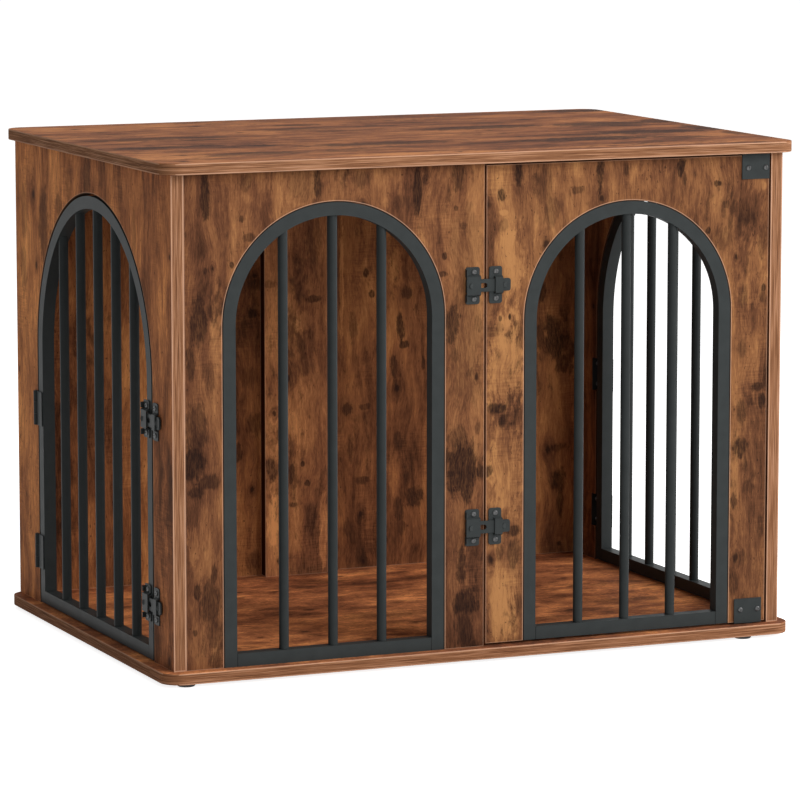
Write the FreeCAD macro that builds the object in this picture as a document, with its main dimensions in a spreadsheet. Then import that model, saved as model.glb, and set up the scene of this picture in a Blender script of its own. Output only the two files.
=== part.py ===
import FreeCAD, Part
import math
import os
import Sketcher
from FreeCAD import Placement, Rotation, Vector

# Dog crate end table: six boards with arched openings, a pivoting front door, two barred side
# doors on hinges, six slide-bolt latches and four glides. Millimetres, +Z up, +Y to the back.
# Every piece is drawn in the cabinet's own axes: X 0 at the middle, Y 0 at the front faces of the
# upright boards, Z 0 on top of the base board. The origin of the whole stands on the floor,
# under the middle of the top board.

SIZES = (
    ("body_width", 820.0, "width over the outer faces of the side boards"),
    ("body_depth", 579.0, "depth of the side boards"),
    ("body_height", 600.0, "height of the upright boards"),
    ("board", 16.0, "thickness of every upright board"),
    ("slab", 14.0, "thickness of the top and base boards"),
    ("side_overhang", 15.0, "top and base past the side boards"),
    ("front_overhang", 14.5, "top and base past the front boards"),
    ("back_overhang", 3.0, "top and base past the back boards"),
    ("slab_corner", 25.0, "corner radius of the top and base in plan"),
    ("slab_arris", 1.2, "rounding of the top and base edges"),
    ("seam", 3.0, "gap between the front panel and the front door"),
    ("door_side_gap", 3.0, "gap between the front door and the right side board"),
    ("door_end_gap", 3.0, "gap above and below the front door"),
    ("tube", 16.0, "side of the square steel tube"),
    ("tube_wall", 1.2, "wall of the square tube"),
    ("bar_dia", 12.0, "diameter of the round bars"),
    ("bar_wall", 1.0, "wall of the round bars"),
    ("frame_gap", 0.8, "gap round the frames that are fixed in boards"),
    ("grille_shift", 2.05, "arch in the front panel left of the panel's middle"),
    ("grille_crown", 40.5, "top of its frame below the top of the boards"),
    ("grille_radius", 144.5, "outer radius of its frame"),
    ("grille_pitch", 64.5, "spacing of its bars"),
    ("door_shift", 0.45, "arch in the front door left of the door's middle"),
    ("door_crown", 54.3, "top of its frame below the top of the boards"),
    ("door_radius", 142.2, "outer radius of its frame"),
    ("door_pitch", 64.3, "spacing of its bars"),
    ("tab_wide", 22.0, "width of the fixing tabs behind the front frames"),
    ("tab_tall", 20.0, "height of those tabs"),
    ("tab_lap", 8.0, "how far a tab laps over its tube"),
    ("tab_low", 80.0, "height of the lower tabs"),
    ("tab_drop", 35.0, "upper tabs below the start of the arch's curve"),
    ("side_arch_y", 282.4, "middle of the arches in the side boards"),
    ("side_crown", 50.4, "top of the side door frames below the top of the boards"),
    ("side_radius", 211.3, "outer radius of the side door frames"),
    ("side_gap", 3.3, "gap between a side door frame and its board"),
    ("side_lift", 1.5, "gap below the side doors"),
    ("side_pitch", 65.5, "spacing of the side door bars"),
    ("sheet_steel", 1.5, "thickness of plates, brackets and hinge leaves"),
    ("hinge_upper_drop", 82.3, "upper side hinges below the start of the side arch's curve"),
    ("hinge_lower_z", 68.0, "height of the lower side hinges"),
    ("hinge_tall", 44.4, "height of a hinge"),
    ("hinge_notch", 12.8, "depth of the hinge notch in the board"),
    ("notch_play", 0.3, "notch past each end of the hinge"),
    ("hinge_axis_in", 5.0, "hinge axis past the edge of the arched opening"),
    ("hinge_proud", 1.0, "hinge axis proud of the outer face"),
    ("knuckle_radius", 3.5, "radius of the hinge barrel"),
    ("hinge_pin_radius", 1.5, "radius of the hinge pin"),
    ("hinge_play", 0.05, "running clearance round the hinge pin"),
    ("knuckle_mid", 15.0, "height of the door's knuckle"),
    ("knuckle_gap", 0.3, "gap between knuckles"),
    ("leaf_lap", 14.0, "hinge leaf on the face of the door frame"),
    ("leaf_clear", 1.0, "gap between the door leaf and the barrel"),
    ("hinge_screw_rise", 14.0, "hinge screws above and below its middle"),
    ("latch_upper_drop", 150.0, "upper front latch below the top of the boards"),
    ("latch_lower_z", 150.0, "height of the lower front latch"),
    ("side_latch_drop", 41.3, "upper side latches below the start of the side arch's curve"),
    ("side_latch_lower_z", 71.0, "height of the lower side latches"),
    ("side_latch_y", 68.0, "seam line of the side latches"),
    ("plate_tall", 45.6, "height of the latch plates"),
    ("plate_corner", 3.0, "corner radius of the latch plates"),
    ("keeper_far", 27.1, "far edge of the keeper from the seam"),
    ("keeper_wide", 18.9, "width of the keeper"),
    ("guide_near", 4.6, "near edge of the guide from the seam"),
    ("guide_wide", 17.1, "width of the guide"),
    ("bridge_wide", 10.3, "width of the guide's raised bridge"),
    ("lip_tall", 4.1, "height of the folded lips of the keeper"),
    ("lip_long", 7.0, "length of those lips"),
    ("keeper_screw_x", 16.0, "keeper screws from the seam"),
    ("guide_screw_x", 13.4, "guide screws from the seam"),
    ("latch_screw_rise", 16.5, "latch screws above and below the bolt"),
    ("bolt_far", 27.1, "far end of the bolt from the seam"),
    ("bolt_long", 59.5, "length of the bolt"),
    ("bolt_tall", 15.5, "height of the bolt"),
    ("bolt_thick", 2.0, "thickness of the bolt"),
    ("bolt_play", 0.3, "clearance all round the bolt"),
    ("bolt_corner", 3.0, "corner radius of the bolt's thumb end"),
    ("bolt_travel", 30.0, "travel of the bolt"),
    ("slot_far", 8.9, "far end of the bolt's slot from the seam"),
    ("slot_long", 9.8, "length of the slot"),
    ("slot_tall", 6.3, "height of the slot"),
    ("ear_tall", 1.6, "stop ears past the bolt's edges"),
    ("ear_long", 3.0, "length of the stop ears"),
    ("ear_gap", 0.6, "ears short of the bridge when withdrawn"),
    ("bump_radius", 3.2, "radius of the pressed stop bumps"),
    ("bump_tall", 1.5, "height of the stop bumps"),
    ("keeper_bump_x", 20.5, "stop bump on the keeper from the seam"),
    ("bracket_wide", 38.5, "width of the pivot brackets"),
    ("bracket_tall", 30.0, "height of the pivot brackets on the face"),
    ("bracket_shift", 5.0, "lower bracket set in from the door's edge"),
    ("bracket_screw_in", 8.6, "first bracket screw from its inner edge"),
    ("bracket_screw_pitch", 24.3, "spacing of the bracket screws"),
    ("bracket_screw_drop", 15.8, "bracket screws from the door's end"),
    ("pivot_in", 21.0, "pivot axis from the door's right edge"),
    ("pin_radius", 3.0, "radius of the pivot pins"),
    ("pin_play", 0.05, "running clearance round the pivot pins"),
    ("pin_in_bush", 7.0, "pivot pin past the face of the board"),
    ("bush_radius", 5.0, "radius of the pivot bushes"),
    ("bush_deep", 8.5, "depth of the bushes in the board"),
    ("bush_end", 0.8, "closed end of the bushes"),
    ("bush_flange_radius", 7.5, "radius of the bush flanges"),
    ("bush_flange", 1.2, "thickness of the bush flanges"),
    ("screw_head_radius", 3.2, "radius of the small screw heads"),
    ("screw_head", 1.7, "height of the small screw heads"),
    ("screw_radius", 1.5, "radius of the small screws"),
    ("screw_long", 12.0, "length of the small screws"),
    ("screw_slot", 0.9, "width of the cross recess"),
    ("screw_slot_long", 3.6, "length of the cross recess"),
    ("screw_slot_deep", 1.0, "depth of the cross recess"),
    ("hole_play", 0.1, "clearance round screws, dowels and cams in their holes"),
    ("fixing_in", 40.0, "cams and base screws from the ends of a board"),
    ("dowel_step", 32.0, "dowel beside each cam"),
    ("cam_radius", 7.5, "radius of the cam locks"),
    ("cam_deep", 12.5, "depth of the cam locks in the board"),
    ("cam_drop", 34.0, "cam locks below the top of the board"),
    ("cam_bolt_radius", 3.0, "radius of the cam bolts"),
    ("slab_bite", 11.0, "cam bolts and dowels into the top board"),
    ("dowel_radius", 4.0, "radius of the dowels"),
    ("dowel_long", 30.0, "length of the dowels"),
    ("edge_dowel_low", 150.0, "height of the lower dowels in the corner joints"),
    ("edge_dowel_drop", 150.0, "upper dowels in those joints below the top of the boards"),
    ("edge_dowel_bite", 12.0, "corner dowels into the side boards"),
    ("base_screw_radius", 3.25, "radius of the base screws"),
    ("base_screw_long", 50.0, "length of the base screws"),
    ("base_head_radius", 5.0, "radius of the base screw heads"),
    ("base_head", 3.0, "height of the base screw heads"),
    ("post_x", -29.0, "middle of the batten behind the back boards' joint"),
    ("post_wide", 90.0, "width of that batten"),
    ("post_screw_radius", 2.0, "radius of the batten screws"),
    ("post_screw_long", 27.0, "length of the batten screws"),
    ("post_screw_left", -37.0, "batten screws in the left back board"),
    ("post_screw_right", 8.0, "batten screws in the right back board"),
    ("post_screw_inset", 60.0, "first and last batten screws from the board's ends"),
    ("foot_radius", 11.2, "radius of the glides"),
    ("foot_tall", 5.0, "height of the glides"),
    ("foot_bevel", 1.2, "bevel at the foot of the glides"),
    ("foot_pin_radius", 2.0, "radius of the glides' pins"),
    ("foot_pin_long", 4.0, "length of the glides' pins in the base"),
    ("foot_left_in", 32.7, "left glides from the edge of the base"),
    ("foot_right_in", 61.5, "right glides from the edge of the base"),
    ("foot_front_in", 20.5, "front and back glides from the edge of the base"),
)

doc = FreeCAD.newDocument("CrateEndTable")
sheet = doc.addObject("Spreadsheet::Sheet", "Sizes")


class Size:
    """A length together with the sheet expression that gives it."""

    def __init__(self, value, text):
        self.value = float(value)
        self.text = text

    def __add__(self, other):
        other = as_size(other)
        return Size(self.value + other.value, f"({self.text} + {other.text})")

    def __sub__(self, other):
        other = as_size(other)
        return Size(self.value - other.value, f"({self.text} - {other.text})")

    def __mul__(self, other):
        other = as_size(other)
        return Size(self.value * other.value, f"({self.text} * {other.text})")

    def __truediv__(self, other):
        other = as_size(other)
        return Size(self.value / other.value, f"({self.text} / {other.text})")

    def __radd__(self, other):
        return as_size(other) + self

    def __rsub__(self, other):
        return as_size(other) - self

    def __rmul__(self, other):
        return as_size(other) * self

    def __neg__(self):
        return Size(-self.value, f"(0 - {self.text})")


def as_size(number):
    """The number itself as a Size, unless it already is one."""
    return number if isinstance(number, Size) else Size(number, f"({float(number)})")


class Sizes:
    """The sheet's sizes by name."""


s = Sizes()
for row, (name, value, note) in enumerate(SIZES, 1):
    sheet.set(f"A{row}", "'" + name)
    sheet.set(f"B{row}", str(value))
    sheet.setAlias(f"B{row}", name)
    sheet.set(f"C{row}", "'" + note)
    setattr(s, name, Size(value, f"Sizes.{name}"))
doc.recompute()

# Places that several pieces share.
half = s.body_width / 2
inner_x = half - s.board
slab_width = s.body_width + 2 * s.side_overhang
slab_depth = s.body_depth + s.front_overhang + s.back_overhang
front_y = s.front_overhang - slab_depth / 2
base_z = s.foot_tall + s.slab
back_y = s.body_depth - s.board
panel_right = -s.seam / 2
door_left = s.seam / 2
door_right = inner_x - s.door_side_gap
door_low = s.door_end_gap
door_high = s.body_height - s.door_end_gap
frame_y = s.board - s.tube
grille_x = (panel_right - inner_x) / 2 - s.grille_shift
grille_spring = s.body_height - s.grille_crown - s.grille_radius
door_x = (door_left + door_right) / 2 - s.door_shift
door_spring = s.body_height - s.door_crown - s.door_radius
side_spring = s.body_height - s.side_crown - s.side_radius
pivot_x = door_right - s.pivot_in
pivot_y = s.board / 2
side_back = s.side_arch_y + s.side_radius + s.side_gap
notch_y = side_back + s.hinge_notch
hinge_y = side_back + s.hinge_axis_in
bolt_out = s.sheet_steel + s.bolt_play
bridge_out = bolt_out + s.bolt_thick + s.bolt_play
pilot = s.screw_radius + s.hole_play
pilot_deep = s.screw_long - s.sheet_steel + s.hole_play

pieces = []
cuts = []

# The four ways a group of parts is turned: the rotation and what it does to a point.
TURNS = {
    "front": (Rotation(), lambda a, b, c: (a, b, c)),
    "left": (Rotation(Vector(0, 0, 1), -90), lambda a, b, c: (b, -a, c)),
    "right": (Rotation(Vector(1, -1, 0), 180), lambda a, b, c: (-b, -a, -c)),
    "back": (Rotation(Vector(0, 0, 1), 180), lambda a, b, c: (-a, -b, c)),
    "over": (Rotation(Vector(0, 1, 0), 180), lambda a, b, c: (-a, b, -c)),
}

# For each way that a sketch is pushed: the plane, the sign of its offset, and whether the
# plane's normal points against that way.
WAYS = {
    "+x": ("YZ_Plane", 1, False),
    "-x": ("YZ_Plane", 1, True),
    "+y": ("XZ_Plane", -1, True),
    "-y": ("XZ_Plane", -1, False),
    "+z": ("XY_Plane", 1, False),
    "-z": ("XY_Plane", 1, True),
}


def moved(turn, origin, point):
    """A point of a turned group, given in the group's own axes, in the cabinet's axes."""
    return tuple(o + p for o, p in zip(origin, TURNS[turn][1](*[as_size(v) for v in point])))


def place(thing, x, y, z, turn="front"):
    """Puts an object at x, y, z, bound to the sheet."""
    thing.Placement = Placement(Vector(0, 0, 0), TURNS[turn][0])
    for axis, value in zip("xyz", (x, y, z)):
        thing.setExpression(f"Placement.Base.{axis}", as_size(value).text)
    return thing


def piece(thing, label, x=0, y=0, z=0, turn="front"):
    """Names a finished piece and moves it from the cabinet's axes to the floor's."""
    place(thing, as_size(x), front_y + y, base_z + z, turn)
    thing.Label = label
    pieces.append(thing)
    return thing


def block(x, y, z, length, width, height):
    """A rectangular block from its low corner."""
    thing = place(doc.addObject("Part::Box", "block"), x, y, z)
    for prop, value in (("Length", length), ("Width", width), ("Height", height)):
        thing.setExpression(prop, as_size(value).text)
    return thing


AXES = {
    "x": Rotation(Vector(0, 1, 0), 90),
    "y": Rotation(Vector(1, 0, 0), -90),
    "z": Rotation(),
}


def rod(axis, x, y, z, radius, length):
    """A cylinder along +axis from x, y, z."""
    thing = place(doc.addObject("Part::Cylinder", "rod"), x, y, z)
    thing.Placement = Placement(thing.Placement.Base, AXES[axis])
    thing.setExpression("Radius", as_size(radius).text)
    thing.setExpression("Height", as_size(length).text)
    return thing


def cone(x, y, z, low, high, length):
    """A cone along +Z from x, y, z."""
    thing = place(doc.addObject("Part::Cone", "cone"), x, y, z)
    for prop, value in (("Radius1", low), ("Radius2", high), ("Height", length)):
        thing.setExpression(prop, as_size(value).text)
    return thing


def fuse(*things):
    thing = doc.addObject("Part::MultiFuse", "fuse")
    thing.Shapes = list(things)
    return thing


def cut(base, *tools):
    thing = doc.addObject("Part::Cut", "cut")
    thing.Base = base
    thing.Tool = tools[0] if len(tools) == 1 else group(tools)
    cuts.append((thing, base))
    return thing


def common(base, tool):
    thing = doc.addObject("Part::Common", "common")
    thing.Base = base
    thing.Tool = tool
    return thing


def group(things):
    thing = doc.addObject("Part::Compound", "group")
    thing.Links = list(things)
    return thing


def arc(u, v, clockwise=False):
    """The centre of an arc edge in an outline."""
    return as_size(u), as_size(v), clockwise


def draw(sketch, outlines, circles):
    """Draws closed outlines and circles, every corner and radius bound to the sheet.

    An outline is a list of corners (u, v, edge), where edge leads to the next corner: None for
    a straight one, or the arc's centre from arc()."""
    rules, bound = [], []

    def fix(kind, geometry, point, value):
        bound.append((len(rules), value))
        rules.append(Sketcher.Constraint(kind, -1, 1, geometry, point, value.value))

    for corners in outlines:
        corners = [(as_size(u), as_size(v), edge) for u, v, edge in corners]
        first = sketch.GeometryCount
        ends = []
        for number, (u, v, edge) in enumerate(corners):
            nu, nv, _ = corners[(number + 1) % len(corners)]
            here, there = Vector(u.value, v.value, 0), Vector(nu.value, nv.value, 0)
            if edge is None:
                sketch.addGeometry(Part.LineSegment(here, there))
                ends.append((1, 2))
                continue
            middle = Vector(edge[0].value, edge[1].value, 0)
            radius = (here - middle).Length
            angles = [math.atan2(p.y - middle.y, p.x - middle.x) for p in (here, there)]
            if edge[2]:
                angles.reverse()
            if angles[1] <= angles[0]:
                angles[1] += 2 * math.pi
            circle = Part.Circle(middle, Vector(0, 0, 1), radius)
            sketch.addGeometry(Part.ArcOfCircle(circle, *angles))
            ends.append((2, 1) if edge[2] else (1, 2))
        for number, (u, v, edge) in enumerate(corners):
            here, after = first + number, first + (number + 1) % len(corners)
            rules.append(
                Sketcher.Constraint(
                    "Coincident", here, ends[number][1], after, ends[after - first][0]
                )
            )
            fix("DistanceX", here, ends[number][0], u)
            fix("DistanceY", here, ends[number][0], v)
            if edge is not None:
                nu, nv, _ = corners[(number + 1) % len(corners)]
                flat = abs(nu.value - u.value) > abs(nv.value - v.value)
                fix("DistanceY" if flat else "DistanceX", here, 3, edge[1 if flat else 0])
    for u, v, radius in circles:
        u, v, radius = as_size(u), as_size(v), as_size(radius)
        number = sketch.addGeometry(
            Part.Circle(Vector(u.value, v.value, 0), Vector(0, 0, 1), radius.value)
        )
        fix("DistanceX", number, 3, u)
        fix("DistanceY", number, 3, v)
        bound.append((len(rules), radius))
        rules.append(Sketcher.Constraint("Radius", number, radius.value))
    sketch.addConstraint(rules)
    for number, value in bound:
        sketch.setExpression(f"Constraints[{number}]", value.text)


def push(body, kind, way, at, length, outlines=(), circles=()):
    """Pads or pockets a sketch, from the plane at `at`, along `way` for `length`."""
    role, sign, against = WAYS[way]
    plane = next(f for f in body.Origin.OriginFeatures if f.Role == role)
    sketch = body.newObject("Sketcher::SketchObject", "sketch")
    sketch.AttachmentSupport = [(plane, "")]
    sketch.MapMode = "FlatFace"
    offset = as_size(at) * sign
    sketch.AttachmentOffset = Placement(Vector(0, 0, offset.value), Rotation())
    sketch.setExpression("AttachmentOffset.Base.z", offset.text)
    draw(sketch, outlines, circles)
    base = body.Tip
    feature = body.newObject(f"PartDesign::{kind}", kind.lower())
    feature.Profile = sketch
    feature.setExpression("Length", as_size(length).text)
    feature.Reversed = against == (kind == "Pad")
    sketch.Visibility = False
    if kind == "Pocket":
        cuts.append((feature, base))
    return feature


def pad(body, way, at, length, *outlines):
    return push(body, "Pad", way, at, length, outlines)


def pocket(body, way, at, length, *outlines):
    return push(body, "Pocket", way, at, length, outlines)


def drill(body, way, at, length, circles):
    return push(body, "Pocket", way, at, length, (), circles)


def new_body(name):
    return doc.addObject("PartDesign::Body", name)


def rectangle(u0, v0, u1, v1):
    return [(u0, v0, None), (u1, v0, None), (u1, v1, None), (u0, v1, None)]


def archway(left, right, high, middle, spring, radius, low=0):
    """A board's outline with an arched opening that runs out through its lower edge."""
    return [
        (left, low, None),
        (middle - radius, low, None),
        (middle - radius, spring, arc(middle, spring, True)),
        (middle + radius, spring, None),
        (middle + radius, low, None),
        (right, low, None),
        (right, high, None),
        (left, high, None),
    ]


def horseshoe(middle, spring, outer, inner, low):
    """The outline of an arched frame with two straight legs."""
    return [
        (middle - outer, low, None),
        (middle - inner, low, None),
        (middle - inner, spring, arc(middle, spring, True)),
        (middle + inner, spring, None),
        (middle + inner, low, None),
        (middle + outer, low, None),
        (middle + outer, spring, arc(middle, spring)),
        (middle - outer, spring, None),
    ]


def soften(body, radius, wanted):
    """Rounds the edges of a body's last shape that `wanted` picks."""
    doc.recompute()
    base = body.Tip
    names = [f"Edge{i}" for i, edge in enumerate(base.Shape.Edges, 1) if wanted(edge)]
    feature = body.newObject("PartDesign::Fillet", "fillet")
    feature.Base = (base, names)
    feature.setExpression("Radius", as_size(radius).text)
    cuts.append((feature, base))
    return feature


# Fixings first, because the boards are drilled for them: (x, y, z) in the cabinet's axes.

left_mid, right_mid = -half + s.board / 2, half - s.board / 2
back_mid = back_y + s.board / 2
front_mid = s.board / 2
board_ends = {
    "left_side_panel": ("y", left_mid, as_size(0), s.body_depth),
    "right_side_panel": ("y", right_mid, as_size(0), s.body_depth),
    "front_panel": ("x", front_mid, -inner_x, panel_right),
    "back_panel_left": ("x", back_mid, -inner_x, as_size(0)),
    "back_panel_right": ("x", back_mid, as_size(0), inner_x),
}


def along(label, inset):
    """The two points in plan that lie `inset` from the ends of a board, on its middle plane."""
    axis, across, low, high = board_ends[label]
    ends = (low + inset, high - inset)
    return [(end, across) if axis == "x" else (across, end) for end in ends]


cam_spots = {label: along(label, s.fixing_in) for label in board_ends}
dowel_spots = {label: along(label, s.fixing_in + s.dowel_step) for label in board_ends}
base_spots = dict(cam_spots)
grille_edge = s.grille_radius + s.frame_gap
base_spots["front_panel"] = [
    ((-inner_x + grille_x - grille_edge) / 2, front_mid),
    ((panel_right + grille_x + grille_edge) / 2, front_mid),
]
edge_dowels = [
    (side, y, z)
    for side, y in ((-1, front_mid), (-1, back_mid), (1, back_mid))
    for z in (s.edge_dowel_low, s.body_height - s.edge_dowel_drop)
]
post_screws = [
    (x, z)
    for x in (s.post_screw_left, s.post_screw_right)
    for z in (s.post_screw_inset, s.body_height / 2, s.body_height - s.post_screw_inset)
]
cam_hole = s.cam_bolt_radius + s.hole_play
dowel_hole = s.dowel_radius + s.hole_play
base_hole = s.base_screw_radius + s.hole_play
dowel_bite = s.dowel_long - s.slab_bite
screw_group = {"cabinet": [], "front_door": [], "left_door": [], "right_door": []}


def joint_holes(body, label, origin):
    """Drills a board's ends for its cams, dowels and base screws, in the board's own axes."""
    ox, oy = origin

    def local(spots):
        return [(x - ox, y - oy) for x, y in spots]

    top = s.body_height
    holes = [(x, y, cam_hole) for x, y in local(cam_spots[label])]
    drill(body, "-z", top, s.cam_drop, holes)
    holes = [(x, y, dowel_hole) for x, y in local(dowel_spots[label])]
    drill(body, "-z", top, dowel_bite + s.hole_play, holes)
    holes = [(x, y, base_hole) for x, y in local(base_spots[label])]
    drill(body, "+z", 0, s.base_screw_long - s.slab + s.hole_play, holes)


# Top and base boards.


def slab_board(label, z):
    body = new_body(label)
    x, y, r = slab_width / 2, slab_depth / 2, s.slab_corner
    pad(
        body,
        "+z",
        0,
        s.slab,
        [
            (r - x, -y, None),
            (x - r, -y, arc(x - r, r - y)),
            (x, r - y, None),
            (x, y - r, arc(x - r, y - r)),
            (x - r, y, None),
            (r - x, y, arc(r - x, y - r)),
            (-x, y - r, None),
            (-x, r - y, arc(r - x, r - y)),
        ],
    )
    soften(
        body,
        s.slab_arris,
        lambda e: abs(e.BoundBox.ZMax - e.BoundBox.ZMin) < 1e-6,
    )
    piece(body, label, 0, -front_y, z)
    return body


def slab_plan(spots):
    """Points in the cabinet's plan, in the top and base boards' own axes."""
    return [(as_size(x), y + front_y) for x, y in spots]


top = slab_board("top_panel", s.body_height)
spots = slab_plan([spot for pair in cam_spots.values() for spot in pair])
drill(top, "+z", 0, s.slab_bite + s.hole_play, [(x, y, cam_hole) for x, y in spots])
spots = slab_plan([spot for pair in dowel_spots.values() for spot in pair])
drill(top, "+z", 0, s.slab_bite + s.hole_play, [(x, y, dowel_hole) for x, y in spots])
pivot = slab_plan([(pivot_x, pivot_y)])
bush_hole = s.bush_radius + s.hole_play
drill(top, "+z", 0, s.bush_deep + s.hole_play, [(x, y, bush_hole) for x, y in pivot])

base = slab_board("base_panel", -s.slab)
spots = slab_plan([spot for pair in base_spots.values() for spot in pair])
drill(base, "+z", 0, s.slab, [(x, y, base_hole) for x, y in spots])
head_hole = s.base_head_radius + s.hole_play
drill(base, "+z", 0, s.base_head, [(x, y, head_hole) for x, y in spots])
drill(base, "-z", s.slab, s.bush_deep + s.hole_play, [(x, y, bush_hole) for x, y in pivot])
feet = {
    "foot_front_left": (s.foot_left_in - slab_width / 2, s.foot_front_in - slab_depth / 2),
    "foot_front_right": (slab_width / 2 - s.foot_right_in, s.foot_front_in - slab_depth / 2),
    "foot_back_left": (s.foot_left_in - slab_width / 2, slab_depth / 2 - s.foot_front_in),
    "foot_back_right": (slab_width / 2 - s.foot_right_in, slab_depth / 2 - s.foot_front_in),
}
foot_hole = s.foot_pin_radius + s.hole_play
drill(
    base, "+z", 0, s.foot_pin_long + s.hole_play, [(x, y, foot_hole) for x, y in feet.values()]
)
for label, (x, y) in feet.items():
    glide = fuse(
        cone(0, 0, 0, s.foot_radius - s.foot_bevel, s.foot_radius, s.foot_bevel),
        rod("z", 0, 0, s.foot_bevel, s.foot_radius, s.foot_tall - s.foot_bevel),
        rod("z", 0, 0, s.foot_tall / 2, s.foot_pin_radius, s.foot_tall / 2 + s.foot_pin_long),
    )
    piece(glide, label, x, y - front_y, -base_z)

# Side boards, with their arches, hinge notches and latch holes.

latch_heights = {"upper": side_spring - s.side_latch_drop, "lower": s.side_latch_lower_z}
hinge_heights = {"upper": side_spring - s.hinge_upper_drop, "lower": s.hinge_lower_z}
front_latches = {
    "upper": s.body_height - s.latch_upper_drop,
    "lower": s.latch_lower_z,
}
side_hole = s.side_radius + s.side_gap


def side_board(label, sign):
    body = new_body(label)
    outer = as_size(0) if sign < 0 else s.board
    inside = s.board - outer
    inward, outward = ("+x", "-x") if sign < 0 else ("-x", "+x")
    pad(
        body,
        "+x",
        0,
        s.board,
        archway(
            as_size(0), s.body_depth, s.body_height, s.side_arch_y, side_spring, side_hole
        ),
    )
    tall = s.hinge_tall / 2 + s.notch_play
    notches = [rectangle(side_back - 1, z - tall, notch_y, z + tall) for z in
               hinge_heights.values()]
    pocket(body, "+x", 0, s.board, *notches)
    screws = [
        (s.board / 2, z + rise, pilot)
        for z in hinge_heights.values()
        for rise in (-s.hinge_screw_rise, s.hinge_screw_rise)
    ]
    drill(body, "+y", notch_y, pilot_deep, screws)
    screws = [
        (s.side_latch_y - s.guide_screw_x, z + rise, pilot)
        for z in latch_heights.values()
        for rise in (-s.latch_screw_rise, s.latch_screw_rise)
    ]
    drill(body, inward, outer, pilot_deep, screws)
    cams = [
        (y, s.body_height - s.cam_drop, s.cam_radius + s.hole_play) for _, y in cam_spots[label]
    ]
    drill(body, outward, inside, s.cam_deep + s.hole_play, cams)
    dowels = [(y, z, dowel_hole) for side, y, z in edge_dowels if side == sign]
    drill(body, outward, inside, s.edge_dowel_bite + s.hole_play, dowels)
    left = -half if sign < 0 else inner_x
    joint_holes(body, label, (left, as_size(0)))
    piece(body, label, left)


side_board("left_side_panel", -1)
side_board("right_side_panel", 1)

# The fixed front board.

body = new_body("front_panel")
pad(
    body,
    "+y",
    0,
    s.board,
    archway(-inner_x, panel_right, s.body_height, grille_x, grille_spring, grille_edge),
)
joint_holes(body, "front_panel", (as_size(0), as_size(0)))
cams = [
    (x, s.body_height - s.cam_drop, s.cam_radius + s.hole_play)
    for x, _ in cam_spots["front_panel"]
]
drill(body, "-y", s.board, s.cam_deep + s.hole_play, cams)
front_dowels = [
    (y, z, dowel_hole) for side, y, z in edge_dowels if side < 0 and y is front_mid
]
edge_bite = s.dowel_long - s.edge_dowel_bite + s.hole_play
drill(body, "+x", -inner_x, edge_bite, front_dowels)
screws = [
    (-s.keeper_screw_x, z + rise, pilot)
    for z in front_latches.values()
    for rise in (-s.latch_screw_rise, s.latch_screw_rise)
]
drill(body, "+y", 0, pilot_deep, screws)


def tab_spots(middle, spring, radius):
    """The fixing screws of a front frame's tabs: (x, z)."""
    reach = radius - s.tab_lap + s.tab_wide - s.screw_head_radius - s.tab_lap / 4
    heights = (s.tab_low, spring - s.tab_drop)
    return [(middle + side * reach, z) for side in (-1, 1) for z in heights]


grille_tabs = tab_spots(grille_x, grille_spring, s.grille_radius)
drill(body, "-y", s.board, pilot_deep, [(x, z, pilot) for x, z in grille_tabs])
piece(body, "front_panel")

# The two back boards and the batten that covers and joins them.

for sign, label in ((-1, "back_panel_left"), (1, "back_panel_right")):
    body = new_body(label)
    left, right = (-inner_x, as_size(0)) if sign < 0 else (as_size(0), inner_x)
    pad(body, "+y", back_y, s.board, rectangle(left, 0, right, s.body_height))
    joint_holes(body, label, (as_size(0), as_size(0)))
    cams = [
        (x, s.body_height - s.cam_drop, s.cam_radius + s.hole_play) for x, _ in cam_spots[label]
    ]
    drill(body, "+y", back_y, s.cam_deep + s.hole_play, cams)
    holes = [(y, z, dowel_hole) for side, y, z in edge_dowels if side == sign and y is back_mid]
    way, at = ("+x", -inner_x) if sign < 0 else ("-x", inner_x)
    drill(body, way, at, edge_bite, holes)
    holes = [
        (x, z, s.post_screw_radius + s.hole_play)
        for x, z in post_screws
        if (x.value < 0) == (sign < 0)
    ]
    drill(body, "+y", back_y, s.board, holes)
    heads = [(x, z, 2 * s.post_screw_radius + s.hole_play) for x, z, _ in holes]
    drill(body, "-y", s.body_depth, s.post_screw_radius, heads)
    piece(body, label)

body = new_body("back_post")
post_y = back_y - s.board
pad(
    body,
    "+y",
    post_y,
    s.board,
    rectangle(s.post_x - s.post_wide / 2, 0, s.post_x + s.post_wide / 2, s.body_height),
)
holes = [(x, z, s.post_screw_radius + s.hole_play) for x, z in post_screws]
drill(body, "-y", back_y, s.post_screw_long - s.board + s.hole_play, holes)
piece(body, "back_post")

# Arched frames of square tube, their bottom rails and their round bars.


def arch_frame(body, way, at, middle, spring, radius, low):
    """A hollow square tube bent to an arch with two legs, open at its feet."""
    wall = s.tube_wall
    pad(body, way, at, s.tube, horseshoe(middle, spring, radius, radius - s.tube, low))
    pocket(
        body,
        way,
        at + wall,
        s.tube - 2 * wall,
        horseshoe(middle, spring, radius - wall, radius - s.tube + wall, low),
    )


def front_rail(middle, radius, low):
    """The hollow rail between the feet of a front frame."""
    inner = radius - s.tube
    wall = s.tube_wall
    return cut(
        block(middle - inner, frame_y, low, 2 * inner, s.tube, s.tube),
        block(
            middle - inner, frame_y + wall, low + wall, 2 * inner, s.tube - 2 * wall,
            s.tube - 2 * wall,
        ),
    )


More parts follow.
